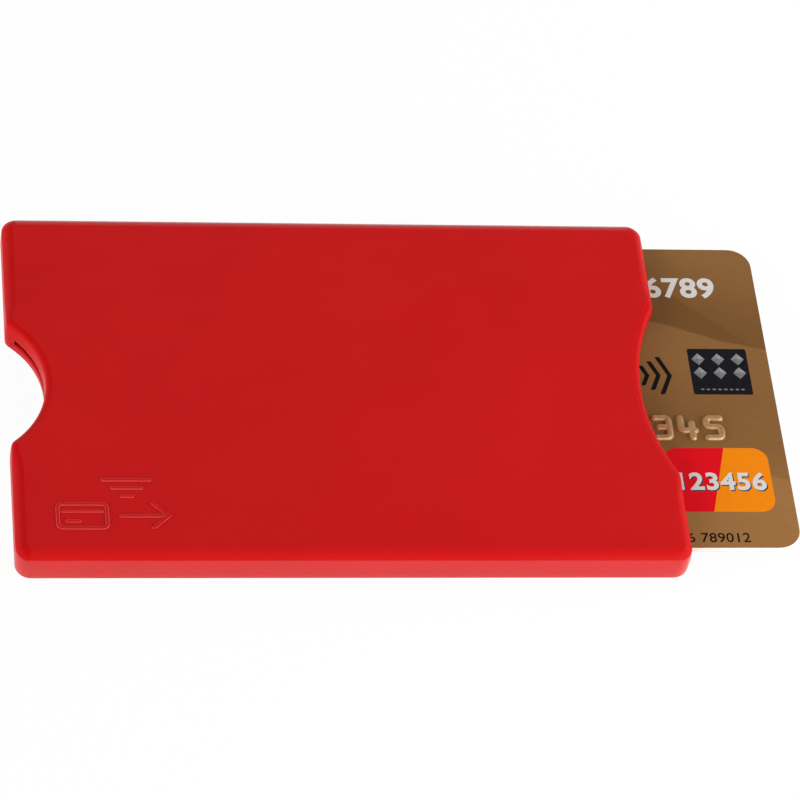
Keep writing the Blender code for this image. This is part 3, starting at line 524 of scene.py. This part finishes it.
# Contacts of the chip: gold-plated copper on the tape, etched into four islands on each side and
# one down the middle. Readers' springs have brushed the gold lengthwise.
GOLD_DEEP = (0.74, 0.52, 0.20, 1)
GOLD_PALE = (0.90, 0.70, 0.33, 1)
GOLD_ROUGHNESS = (0.20, 0.34)
GOLD_BRUSH_SCALE = 700
PAD_ROWS = 4
PAD_COLUMN_SHARE = 0.33
PAD_GAP = 0.16 * MM
PAD_CORNER = 0.45 * MM
PAD_ROUNDING = 0.02 * MM
gold_contacts, place = start_finish("gold_contacts", roughness=0.25, metallic=1.0)
brushed = draw_out(gold_contacts, place, scale=(1, 12, 1))
brushed = cloud(gold_contacts, brushed, GOLD_BRUSH_SCALE, detail=4.0)
colour_by(gold_contacts, brushed, GOLD_DEEP, GOLD_PALE)
dull_by(gold_contacts, brushed, GOLD_ROUGHNESS)

plate_low, plate_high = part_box("chip_contact_plate")
column = (plate_high.x - plate_low.x) * PAD_COLUMN_SHARE
row = (plate_high.y - plate_low.y) / PAD_ROWS
islands = []
for index in range(PAD_ROWS):
    y_low = plate_low.y + index * row
    islands.append((plate_low.x, plate_low.x + column, y_low, y_low + row))
    islands.append((plate_high.x - column, plate_high.x, y_low, y_low + row))
islands.append((plate_low.x + column, plate_high.x - column, plate_low.y, plate_high.y))
pads = bmesh.new()
for x_low, x_high, y_low, y_high in islands:
    half = PAD_GAP / 2
    island = (x_low + half, x_high - half, y_low + half, y_high - half)
    pad = level_panel(pads, island, PAD_CORNER, plate_low.z)
    thicken(pads, [pad], plate_high.z - plate_low.z, PAD_ROUNDING)
contact_pads = put_out(pads, "chip_contact_pads", gold_contacts, "card")
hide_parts("chip_contact_plate")

# Printed sheets: clear-varnished PVC printed in bronze gold, with broad arcs that each end in one
# crisp edge. Only the faces are printed, so the sheets' own edges stay white.
BRONZE_LIGHT = (0.318, 0.151, 0.046, 1)
BRONZE_DARK = (0.193, 0.082, 0.019, 1)
BRONZE_METAL = 0.25
BRONZE_ROUGHNESS = (0.30, 0.42)
BRONZE_GRAIN_SCALE = 5200
BRONZE_GRAIN = (0.88, 1.12)
BRUSH_SCALE = 420
BRUSH_STREAKS = (0.95, 1.05)
SCRATCH_SCALE = 300
VARNISH_SCALE = 1500
VARNISH_DEPTH = 0.006 * MM
PRINT_FILM = 0.02 * MM
CARD_TOP_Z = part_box("card_front_sheet")[1].z
CARD_BACK_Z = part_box("card_back_sheet")[0].z
WIDE_ARCS = ((20 * MM, -90 * MM), 22 * MM)
WIDE_ARCS_SHARE = 0.85
NARROW_ARCS = ((98 * MM, 62 * MM), 23 * MM)
NARROW_ARCS_SHARE = 0.30
WAVER_SCALE = 60
ARC_WAVER = 6 * MM
ARC_FALL = (0.0, 0.85)
ARC_EDGE = (0.975, 1.0)
ARCS_FADE_Y = (-22 * MM, 2 * MM)
ARCS_FADED = 0.25
FOOT_PALING_Y = (-23 * MM, 0)
FOOT_PALING = 1.22


def calculate(finish, operation, first, second=0.0, clamp=False):
    """One sum on two values."""
    inputs = {0: first, 1: second}
    return add_node(finish, "ShaderNodeMath", inputs, operation=operation, use_clamp=clamp).outputs[0]


def swept_arcs(finish, place, centre, period):
    """Rings round a point, dark at a crisp edge and paling outward: 1 at the edge, then to 0."""
    ends = {0: place, 1: (*centre, CARD_TOP_Z)}
    away = add_node(finish, "ShaderNodeVectorMath", ends, operation="DISTANCE").outputs["Value"]
    bent = calculate(finish, "MULTIPLY", cloud(finish, place, WAVER_SCALE), ARC_WAVER)
    turns = calculate(finish, "DIVIDE", calculate(finish, "ADD", away, bent), period)
    step = calculate(finish, "FRACT", turns)
    fall = remap(finish, step, ARC_FALL, (1.0, 0.0), smooth=True)
    edge = remap(finish, step, ARC_EDGE, (0.0, 1.0), smooth=True)
    return calculate(finish, "MAXIMUM", fall, edge)


def bronze_print(name, face_z, side):
    """Bronze print on a sheet's outer face, which looks up (1) or down (-1); white PVC below."""
    finish, place = start_finish(name, roughness=0.34, metallic=BRONZE_METAL)
    axes = add_node(finish, "ShaderNodeSeparateXYZ", {"Vector": place}).outputs
    wide = calculate(finish, "MULTIPLY", swept_arcs(finish, place, *WIDE_ARCS), WIDE_ARCS_SHARE)
    narrow = calculate(finish, "MULTIPLY", swept_arcs(finish, place, *NARROW_ARCS), NARROW_ARCS_SHARE)
    fading = remap(finish, axes["Y"], ARCS_FADE_Y, (ARCS_FADED, 1.0), smooth=True)
    arcs = calculate(finish, "MULTIPLY", calculate(finish, "ADD", wide, narrow, clamp=True), fading)
    colour = blend_colours(finish, arcs, BRONZE_LIGHT, BRONZE_DARK)
    speckle = cloud(finish, place, BRONZE_GRAIN_SCALE, roughness=0.6)
    streaks = draw_out(finish, place, scale=(1, 9, 1), turn=0.35)
    streaks = cloud(finish, streaks, BRUSH_SCALE, detail=4.0, roughness=0.65)
    paling = remap(finish, axes["Y"], FOOT_PALING_Y, (FOOT_PALING, 1.0), smooth=True)
    light = remap(finish, speckle, CLOUD_SPAN, BRONZE_GRAIN)
    light = calculate(finish, "MULTIPLY", light, remap(finish, streaks, CLOUD_SPAN, BRUSH_STREAKS))
    light = calculate(finish, "MULTIPLY", light, paling)
    lit = {0: colour, "Scale": light}
    printed = add_node(finish, "ShaderNodeVectorMath", lit, operation="SCALE").outputs["Vector"]
    depth = calculate(finish, "MULTIPLY", calculate(finish, "SUBTRACT", face_z, axes["Z"]), side)
    bare = calculate(finish, "GREATER_THAN", depth, PRINT_FILM)
    colour_by(finish, bare, printed, CORE_WHITE)
    feed(finish, remap(finish, bare, (0.0, 1.0), (BRONZE_METAL, 0.0)), "Metallic")
    scratched = draw_out(finish, place, scale=(1, 14, 1), turn=0.9)
    scratched = cloud(finish, scratched, SCRATCH_SCALE, detail=5.0, roughness=0.7)
    dull_by(finish, scratched, BRONZE_ROUGHNESS)
    roughen(finish, cloud(finish, place, VARNISH_SCALE), VARNISH_DEPTH)
    return finish


dress(bronze_print("bronze_front_print", CARD_TOP_Z, 1), "card_front_sheet")
dress(bronze_print("bronze_back_print", CARD_BACK_Z, -1), "card_back_sheet")

# Printing on the card's front: white numerals along the top, black chevrons, a small black line of
# numerals at the foot, and a two-colour tile with white numerals. Each ink is a thin screened film.
INK_SUNK = 0.010 * MM
INK_PROUD = 0.008 * MM
INK_Z = CARD_TOP_Z - INK_SUNK
INK_WHITE = (0.66, 0.64, 0.61, 1)
INK_BLACK = (0.005, 0.004, 0.004, 1)
INK_RED = (0.72, 0.003, 0.011, 1)
INK_ORANGE = (0.86, 0.235, 0.003, 1)
INK_SHADOW = (0.05, 0.05, 0.07, 1)
INK_SHINE = 0.15
INK_THIN = 0.84
INK_ROUGHNESS_SPREAD = 0.05
SCREEN_SCALE = 2600
TILE_INK_ROUGHNESS = 0.36
CHEVRONS = ((1.8 * MM, 43.9 * MM), (2.6 * MM, 45.5 * MM), (3.4 * MM, 47.1 * MM))
CHEVRON_Y = 3.7 * MM
CHEVRON_LEAN = 0.42
CHEVRON_STROKE = 0.66 * MM
TILE = (43.9 * MM, 58.6 * MM, -20.5 * MM, -9.3 * MM)
TILE_CORNER = 2.2 * MM
SPLIT_FOOT = Vector((49.8 * MM, TILE[2], INK_Z))
SPLIT_TOP = Vector((52.6 * MM, TILE[3], INK_Z))


def ink(name, colour, roughness=0.40):
    """A screened ink: one colour, slightly uneven where the screen's mesh left it."""
    finish, place = start_finish(name, roughness, shine=INK_SHINE)
    thin = [part * INK_THIN for part in colour[:3]] + [1]
    patchy = cloud(finish, place, SCREEN_SCALE, detail=3.0, roughness=0.6)
    colour_by(finish, patchy, thin, colour)
    dull_by(finish, patchy, (roughness - INK_ROUGHNESS_SPREAD, roughness + INK_ROUGHNESS_SPREAD))
    return finish


def numerals(bm, text, x_end, baseline, height, z, weight=0.0, spacing=1.0, mirrored=False):
    """Flat numerals on a baseline that end at x_end, or start there when mirrored."""
    drawn = bpy.data.curves.new("numerals", "FONT")
    drawn.body = text
    drawn.offset = weight
    drawn.space_character = spacing
    drawn.resolution_u = 6
    writing = bpy.data.objects.new("numerals", drawn)
    bpy.context.scene.collection.objects.link(writing)
    bpy.context.view_layer.update()
    evaluated = writing.evaluated_get(bpy.context.evaluated_depsgraph_get())
    flat = bpy.data.meshes.new_from_object(evaluated)
    across = [vertex.co.x for vertex in flat.vertices]
    upward = [vertex.co.y for vertex in flat.vertices]
    scale = height / (max(upward) - min(upward))
    facing, end = (-1, min(across)) if mirrored else (1, max(across))
    shift = (x_end - facing * end * scale, baseline - min(upward) * scale, z)
    flat.transform(Matrix.Translation(shift) @ Matrix.Diagonal((facing * scale, scale, 1, 1)))
    before = set(bm.faces)
    bm.from_mesh(flat)
    bpy.data.objects.remove(writing)
    bpy.data.curves.remove(drawn)
    bpy.data.meshes.remove(flat)
    bmesh.ops.remove_doubles(bm, verts=bm.verts, dist=WELD_GAP)
    return [face for face in bm.faces if face not in before]


def printed_line(name, finish, text, layers=1, **layout):
    """A line of numerals screened on the card's front, one or more films of ink thick."""
    line = bmesh.new()
    thicken(line, numerals(line, text, z=INK_Z, **layout), INK_SUNK + layers * INK_PROUD)
    put_out(line, name, finish, "card", smooth=False)


white_ink = ink("white_ink", INK_WHITE)
black_ink = ink("black_ink", INK_BLACK)
red_ink = ink("red_ink", INK_RED, TILE_INK_ROUGHNESS)
orange_ink = ink("orange_ink", INK_ORANGE, TILE_INK_ROUGHNESS)
shadow_ink = ink("shadow_ink", INK_SHADOW)

printed_line(
    "top_line_numerals", white_ink, "0123456789",
    x_end=55.3 * MM, baseline=18.05 * MM, height=3.85 * MM, weight=0.030, spacing=1.05
)

chevrons = bmesh.new()
for reach, x in CHEVRONS:
    mark = chevron(chevrons, (x, CHEVRON_Y), reach, CHEVRON_LEAN, CHEVRON_STROKE, INK_Z)
    thicken(chevrons, mark, INK_SUNK + INK_PROUD)
put_out(chevrons, "black_chevrons", black_ink, "card", smooth=False)

printed_line(
    "foot_line_numerals", black_ink, "0123456 789012",
    x_end=54.2 * MM, baseline=-25.75 * MM, height=1.62 * MM, weight=0.008, spacing=1.04
)

split = SPLIT_TOP - SPLIT_FOOT
rightward = Vector((split.y, -split.x, 0)).normalized()
for name, finish, is_left in (("tile_red_half", red_ink, True), ("tile_orange_half", orange_ink, False)):
    tile = bmesh.new()
    level_panel(tile, TILE, TILE_CORNER, INK_Z, segments=8)
    bmesh.ops.bisect_plane(
        tile, geom=tile.verts[:] + tile.edges[:] + tile.faces[:], plane_co=SPLIT_FOOT,
        plane_no=rightward, clear_outer=is_left, clear_inner=not is_left
    )
    thicken(tile, tile.faces[:], INK_SUNK + INK_PROUD)
    put_out(tile, name, finish, "card", smooth=False)

printed_line(
    "tile_numeral_shadows", shadow_ink, "123456", layers=2,
    x_end=57.95 * MM, baseline=-16.95 * MM, height=3.15 * MM, weight=0.030, spacing=1.07
)
printed_line(
    "tile_numerals", white_ink, "123456", layers=3,
    x_end=57.8 * MM, baseline=-16.75 * MM, height=3.15 * MM, weight=0.030, spacing=1.07
)

# Raised numerals: pressed up from below by a punch and die, and tipped with copper-gold foil. The
# foil's colour lies on their slopes and thins along their crowns: partly worn tipping, partly a
# painted highlight along their outlines. Their strokes run as shares of a numeral's width and height.
PRESS_HEIGHT = 0.46 * MM
PRESS_SUNK = 0.04 * MM
PRESS_CORE = 0.20 * MM
PRESS_FOOT = 0.58 * MM
PRESS_PITCH = 3.63 * MM
PRESS_GRID = 0.08 * MM
PRESSED_NUMERALS = "0123456789012345"
NUMERAL_GROUP = 4
NUMERAL_WIDE = 1.95 * MM
NUMERAL_TALL = 3.45 * MM
LAST_NUMERAL_X = 51.75 * MM
NUMERAL_FOOT_Y = -7.50 * MM
STROKE_BEND = 0.62 * MM
BEND_STEPS = 4
NUMERAL_STROKES = {
    "0": [[(0, 0), (1, 0), (1, 1), (0, 1), (0, 0)]],
    "1": [[(0.15, 0.80), (0.55, 1), (0.55, 0)], [(0.15, 0), (0.95, 0)]],
    "2": [[(0, 0.82), (0, 1), (1, 1), (1, 0.50), (0, 0.36), (0, 0), (1, 0)]],
    "3": [[(0, 1), (1, 1), (1, 0), (0, 0)], [(0.25, 0.52), (1, 0.52)]],
    "4": [[(0, 1), (0, 0.36), (1, 0.36)], [(0.78, 0.72), (0.78, 0)]],
    "5": [[(1, 1), (0, 1), (0, 0.56), (1, 0.56), (1, 0), (0, 0)]],
    "6": [[(0.9, 1), (0, 1), (0, 0), (1, 0), (1, 0.54), (0, 0.54)]],
    "7": [[(0, 1), (1, 1), (1, 0.72), (0.4, 0.34), (0.4, 0)]],
    "8": [
        [(0, 0), (1, 0), (1, 0.54), (0, 0.54), (0, 0)],
        [(0.1, 0.54), (0.9, 0.54), (0.9, 1), (0.1, 1), (0.1, 0.54)]
    ],
    "9": [[(0.1, 0), (1, 0), (1, 1), (0, 1), (0, 0.46), (1, 0.46)]],
}
# The foil's pale gold on the slopes is partly a painted highlight along the numerals' outlines.
TIPPING_GOLD = (0.96, 0.63, 0.34, 1)
TIPPED_Z = (CARD_TOP_Z + 0.04 * MM, CARD_TOP_Z + 0.20 * MM)
CROWN_Z = (CARD_TOP_Z + 0.28 * MM, CARD_TOP_Z + 0.43 * MM)
CROWN_LEFT = 0.35
WEAR_SCALE = 900
WEAR_SPAN = (0.35, 0.55)
WEAR_LEFT = 0.6
TIPPING_METAL = (0.25, 0.78)
TIPPING_ROUGHNESS = (0.15, 0.25)


def corner_rounded(points, radius):
    """Round off a line's inner corners, each with a few short steps."""
    smooth = [points[0]]
    for before, here, after in zip(points, points[1:], points[2:]):
        back = (before - here).normalized() * min(radius, (before - here).length / 2)
        on = (after - here).normalized() * min(radius, (after - here).length / 2)
        for step in range(BEND_STEPS + 1):
            share = step / BEND_STEPS
            smooth.append(here + back * (1 - share) ** 2 + on * share ** 2)
    smooth.append(points[-1])
    return smooth


def numeral_lines(text):
    """The centre lines of one numeral, its lower left corner at the origin."""
    lines = []
    for stroke in NUMERAL_STROKES[text]:
        points = [Vector((x * NUMERAL_WIDE, y * NUMERAL_TALL)) for x, y in stroke]
        if points[0] == points[-1]:
            middle = (points[0] + points[1]) / 2
            points = [middle] + points[1:-1] + [points[0], middle]
        lines.append(corner_rounded(points, STROKE_BEND))
    return lines


def line_distance(point, line):
    """How far a point lies from a line of points."""
    nearest = math.inf
    for start, end in zip(line, line[1:]):
        along = end - start
        share = (point - start).dot(along) / max(along.length_squared, WELD_GAP ** 2)
        nearest = min(nearest, (point - start - along * min(max(share, 0), 1)).length)
    return nearest


def press_numeral(bm, text, centre_x, foot_y):
    """One numeral as a blister of the sheet: a fine grid raised round its centre lines."""
    lines = numeral_lines(text)
    wide = NUMERAL_WIDE + 2 * PRESS_FOOT
    tall = NUMERAL_TALL + 2 * PRESS_FOOT
    middle = Matrix.Translation((centre_x, foot_y + NUMERAL_TALL / 2, CARD_TOP_Z))
    made = bmesh.ops.create_grid(
        bm, x_segments=round(wide / PRESS_GRID), y_segments=round(tall / PRESS_GRID), size=0.5,
        matrix=middle @ Matrix.Diagonal((wide, tall, 1, 1))
    )
    flat = set()
    for vertex in made["verts"]:
        point = Vector((vertex.co.x - centre_x + NUMERAL_WIDE / 2, vertex.co.y - foot_y))
        away = min(line_distance(point, line) for line in lines)
        share = min(max((PRESS_FOOT - away) / (PRESS_FOOT - PRESS_CORE), 0), 1)
        vertex.co.z += PRESS_HEIGHT * share * share * (3 - 2 * share) - INK_SUNK
        if share == 0:
            flat.add(vertex)
    faces = {face for vertex in made["verts"] for face in vertex.link_faces}
    spare = [face for face in faces if all(vertex in flat for vertex in face.verts)]
    bmesh.ops.delete(bm, geom=spare, context="FACES")


pressed = bmesh.new()
for index, text in enumerate(reversed(PRESSED_NUMERALS)):
    places_back = index + index // NUMERAL_GROUP
    press_numeral(pressed, text, LAST_NUMERAL_X - places_back * PRESS_PITCH, NUMERAL_FOOT_Y)
underside = bmesh.ops.extrude_face_region(pressed, geom=pressed.faces[:], use_keep_orig=True)["geom"]
for vertex in only(underside, bmesh.types.BMVert):
    vertex.co.z = CARD_TOP_Z - PRESS_SUNK
bmesh.ops.recalc_face_normals(pressed, faces=pressed.faces)

tipping, place = start_finish("copper_gold_tipping", roughness=0.30, metallic=0.4)
height = add_node(tipping, "ShaderNodeSeparateXYZ", {"Vector": place}).outputs["Z"]
lifted = remap(tipping, height, TIPPED_Z, (0.0, 1.0), smooth=True)
crown = remap(tipping, height, CROWN_Z, (1.0, CROWN_LEFT), smooth=True)
wear = cloud(tipping, place, WEAR_SCALE, detail=3.0)
# Foil on the slopes, thinning on the crowns: partly worn tipping, partly a painted highlight.
foil_and_highlight_share = calculate(tipping, "MULTIPLY", lifted, remap(tipping, wear, WEAR_SPAN, (WEAR_LEFT, 1.0)))
foil_and_highlight_share = calculate(tipping, "MULTIPLY", foil_and_highlight_share, crown)
colour_by(tipping, foil_and_highlight_share, BRONZE_LIGHT, TIPPING_GOLD)
feed(tipping, remap(tipping, foil_and_highlight_share, (0.0, 1.0), TIPPING_METAL), "Metallic")
dull_by(tipping, wear, TIPPING_ROUGHNESS)
put_out(pressed, "raised_numerals", tipping, "card")

# Patch: a square of near-black hot-stamped foil in the card's front, with a lattice of small
# silver diamonds on it and a row of fine silver dashes at its foot.
PATCH_BLACK = (0.006, 0.006, 0.008, 1)
PATCH_GREY = (0.011, 0.010, 0.014, 1)
PATCH_ROUGHNESS = (0.22, 0.34)
STAMPED_SCALE = 1400
SILVER_DARK = (0.34, 0.34, 0.35, 1)
SILVER_PALE = (0.62, 0.62, 0.63, 1)
SILVER_SCALE = 1900
DIAMOND_ROWS = 2
DIAMOND_COLUMNS = 3
DIAMOND_RADIUS = 1.0 * MM
DIAMOND_HEIGHT = 0.16 * MM
DIAMOND_STRETCH = 1.15
DIAMOND_ROW_PITCH = 2.5 * MM
DIAMOND_TOP_GAP = 1.9 * MM
DASHES = 8
DASH_PITCH = 0.82 * MM
DASH_HALF_LENGTH = 0.12 * MM
DASH_FOOT_GAP = 0.9 * MM
DASH_STROKE = 0.26 * MM
patch_black, place = start_finish("patch_black", roughness=0.28, shine=INK_SHINE)
stamped = cloud(patch_black, place, STAMPED_SCALE, detail=3.0)
colour_by(patch_black, stamped, PATCH_BLACK, PATCH_GREY)
dull_by(patch_black, stamped, PATCH_ROUGHNESS)
dress(patch_black, "card_foil_patch")

silver, place = start_finish("stamped_silver", roughness=0.32, metallic=0.8)
colour_by(silver, cloud(silver, place, SILVER_SCALE, detail=3.0), SILVER_DARK, SILVER_PALE)
patch_low, patch_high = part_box("card_foil_patch")
silver_z = patch_high.z - INK_SUNK
column = (patch_high.x - patch_low.x) / DIAMOND_COLUMNS
diamonds = bmesh.new()
for row_index in range(DIAMOND_ROWS):
    for column_index in range(DIAMOND_COLUMNS):
        x = patch_low.x + (column_index + 0.5) * column
        y = patch_high.y - DIAMOND_TOP_GAP - row_index * DIAMOND_ROW_PITCH
        middle = Matrix.Translation((x, y, silver_z + DIAMOND_HEIGHT / 2))
        bmesh.ops.create_cone(
            diamonds, cap_ends=True, segments=4, radius1=DIAMOND_RADIUS, radius2=0,
            depth=DIAMOND_HEIGHT, matrix=middle @ Matrix.Diagonal((1, DIAMOND_STRETCH, 1, 1))
        )
y = patch_low.y + DASH_FOOT_GAP
for index in range(DASHES):
    x = (patch_low.x + patch_high.x) / 2 + (index - (DASHES - 1) / 2) * DASH_PITCH
    left, right = x - DASH_HALF_LENGTH, x + DASH_HALF_LENGTH
    dash = level_stroke(diamonds, left, right, y, DASH_STROKE, silver_z)
    thicken(diamonds, [dash], INK_SUNK + INK_PROUD)
put_out(diamonds, "patch_diamonds", silver, "card", smooth=False)

# Magnetic stripe: black oxide on a carrier film, hot-rolled into the card's back along its top
# edge, and streaked lengthwise by the readers that it is drawn through.
STRIPE_BLACK = (0.009, 0.008, 0.008, 1)
STRIPE_BROWN = (0.020, 0.017, 0.016, 1)
STRIPE_ROUGHNESS = (0.26, 0.40)
STREAK_SCALE = 3200
stripe_black, place = start_finish("stripe_black", roughness=0.32)
streaks = draw_out(stripe_black, place, scale=(0.05, 1, 1))
streaks = cloud(stripe_black, streaks, STREAK_SCALE, detail=3.0)
colour_by(stripe_black, streaks, STRIPE_BLACK, STRIPE_BROWN)
dull_by(stripe_black, streaks, STRIPE_ROUGHNESS)
dress(stripe_black, "card_magnetic_stripe")

# Signature panel: a pale writable coating in the card's back, screened with fine slanting lines
# and a short run of black numerals.
PANEL_CREAM = (0.78, 0.77, 0.72, 1)
PANEL_TAN = (0.50, 0.46, 0.38, 1)
PANEL_LINE_SCALE = 320
PANEL_LINE_WAVER = 0.6
PANEL_LINE_EDGE = (0.72, 0.85)
CODE_FOOT_GAP = 3.2 * MM
panel_white, place = start_finish("panel_white", roughness=0.7)
ruling = {"Vector": place, "Scale": PANEL_LINE_SCALE, "Distortion": PANEL_LINE_WAVER, "Detail": 0.0}
lines = add_node(panel_white, "ShaderNodeTexWave", ruling, bands_direction="DIAGONAL").outputs["Fac"]
fine = remap(panel_white, lines, PANEL_LINE_EDGE, (0.0, 1.0))
colour_by(panel_white, fine, PANEL_CREAM, PANEL_TAN)
dress(panel_white, "card_signature_panel")

panel_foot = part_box("card_signature_panel")[0].y
panel_line = bmesh.new()
code = numerals(
    panel_line, "2345 678", x_end=33 * MM, baseline=panel_foot + CODE_FOOT_GAP, height=2.6 * MM,
    z=CARD_BACK_Z - INK_PROUD, mirrored=True
)
thicken(panel_line, code, INK_SUNK + INK_PROUD)
put_out(panel_line, "panel_numerals", black_ink, "card", smooth=False)

# Floor: a plain white table top, a hair below the sleeve's back so that the two faces don't
# flicker. It is white to the lens, dimmer in reflections, and keeps a soft shadow.
FLOOR_RADIUS = 3.0
FLOOR_COLOUR = (0.95, 0.95, 0.95, 1)
FLOOR_DROP = 0.03 * MM
FLOOR_LIFT = 0.95
FLOOR_MIRROR_LIFT = 0.46
ground = bmesh.new()
bmesh.ops.create_circle(ground, cap_ends=True, segments=64, radius=FLOOR_RADIUS)
floor_mesh = bpy.data.meshes.new("floor")
ground.to_mesh(floor_mesh)
ground.free()
floor = bpy.data.objects.new("floor", floor_mesh)
bpy.context.scene.collection.objects.link(floor)
floor.location.z = -FLOOR_DROP

floor_white = bpy.data.materials.new("floor_white")
floor_white.use_nodes = True
floor_white.node_tree.nodes.remove(floor_white.node_tree.nodes["Principled BSDF"])
matte = add_node(floor_white, "ShaderNodeBsdfDiffuse", {"Color": FLOOR_COLOUR})
glowing = add_node(floor_white, "ShaderNodeEmission", {"Color": (1, 1, 1, 1), "Strength": 1.0})
rays = add_node(floor_white, "ShaderNodeLightPath", {}).outputs
mirrored = calculate(floor_white, "MAXIMUM", rays["Is Glossy Ray"], rays["Is Transmission Ray"])
mirrored = calculate(floor_white, "MULTIPLY", mirrored, FLOOR_MIRROR_LIFT)
share = calculate(floor_white, "MULTIPLY", rays["Is Camera Ray"], FLOOR_LIFT)
share = calculate(floor_white, "MAXIMUM", share, mirrored)
parts = {0: share, 1: matte.outputs[0], 2: glowing.outputs[0]}
surface = add_node(floor_white, "ShaderNodeMixShader", parts).outputs[0]
floor_output = floor_white.node_tree.nodes["Material Output"]
floor_white.node_tree.links.new(surface, floor_output.inputs["Surface"])
floor_mesh.materials.append(floor_white)

# Studio: a pale wall of light all round, brightest in front, that dims towards the ceiling, and a
# large soft lamp on each side. The lamps are kept out of reflections, so that the sleeve's flat
# front stays red where it is seen low from behind.
FRONT_HORIZON = 1.40
BACK_HORIZON = 0.55
BACK_RISE = 0.42
HORIZON_BAND = (0.14, 0.34)
CEILING_LIGHT = 0.15
LAMPS = (
    ("right_lamp", (0.440, -0.143, 0.216), (0.85, 0.374), 4.6),
    ("left_lamp", (-1.174, -0.300, 0.466), (2.20, 0.90), 20.6),
)
studio = bpy.data.worlds.new("studio")
bpy.context.scene.world = studio
studio.use_nodes = True
direction = add_node(studio, "ShaderNodeTexCoord", {}).outputs["Generated"]
axes = add_node(studio, "ShaderNodeSeparateXYZ", {"Vector": direction}).outputs
lean = calculate(studio, "MULTIPLY", calculate(studio, "MAXIMUM", axes["Y"], 0.0), BACK_RISE)
rise = calculate(studio, "SUBTRACT", axes["Z"], lean)
wall = (FRONT_HORIZON - CEILING_LIGHT, BACK_HORIZON - CEILING_LIGHT)
horizon = remap(studio, axes["Y"], (-1.0, 1.0), wall)
band = remap(studio, rise, HORIZON_BAND, (1.0, 0.0), smooth=True)
glow = calculate(studio, "ADD", calculate(studio, "MULTIPLY", horizon, band), CEILING_LIGHT)
background = studio.node_tree.nodes["Background"]
studio.node_tree.links.new(glow, background.inputs["Strength"])
background.inputs["Color"].default_value = (1, 1, 1, 1)

for name, position, size, watts in LAMPS:
    lamp = bpy.data.lights.new(name, "AREA")
    lamp.shape = "RECTANGLE"
    lamp.size, lamp.size_y = size
    lamp.energy = watts
    lamp_object = bpy.data.objects.new(name, lamp)
    lamp_object.location = position
    lamp_object.rotation_euler = (-Vector(position)).to_track_quat("-Z", "Y").to_euler()
    lamp_object.visible_glossy = False
    bpy.context.scene.collection.objects.link(lamp_object)

# Camera: a long lens above and in front of the sleeve, a little to the left, tilted so that the
# sleeve's long edges run level in the picture.
CAMERA_PLACE = Vector((-80.336, -385.808, 464.046)) * MM
CAMERA_TARGET = Vector((8.824, 1.110, 0.0)) * MM
CAMERA_ROLL = math.radians(10.2031)
CAMERA_SENSOR = 36
CAMERA_LENS = 198.850
camera_data = bpy.data.cameras.new("camera")
camera_data.sensor_width = CAMERA_SENSOR
camera_data.lens = CAMERA_LENS
camera = bpy.data.objects.new("camera", camera_data)
bpy.context.scene.collection.objects.link(camera)
aim = (CAMERA_TARGET - CAMERA_PLACE).to_track_quat("-Z", "Y").to_matrix().to_4x4()
camera.matrix_world = Matrix.Translation(CAMERA_PLACE) @ aim @ Matrix.Rotation(CAMERA_ROLL, 4, "Z")
bpy.context.scene.camera = camera
bpy.context.scene.view_settings.view_transform = "Standard"

bpy.context.view_layer.update()
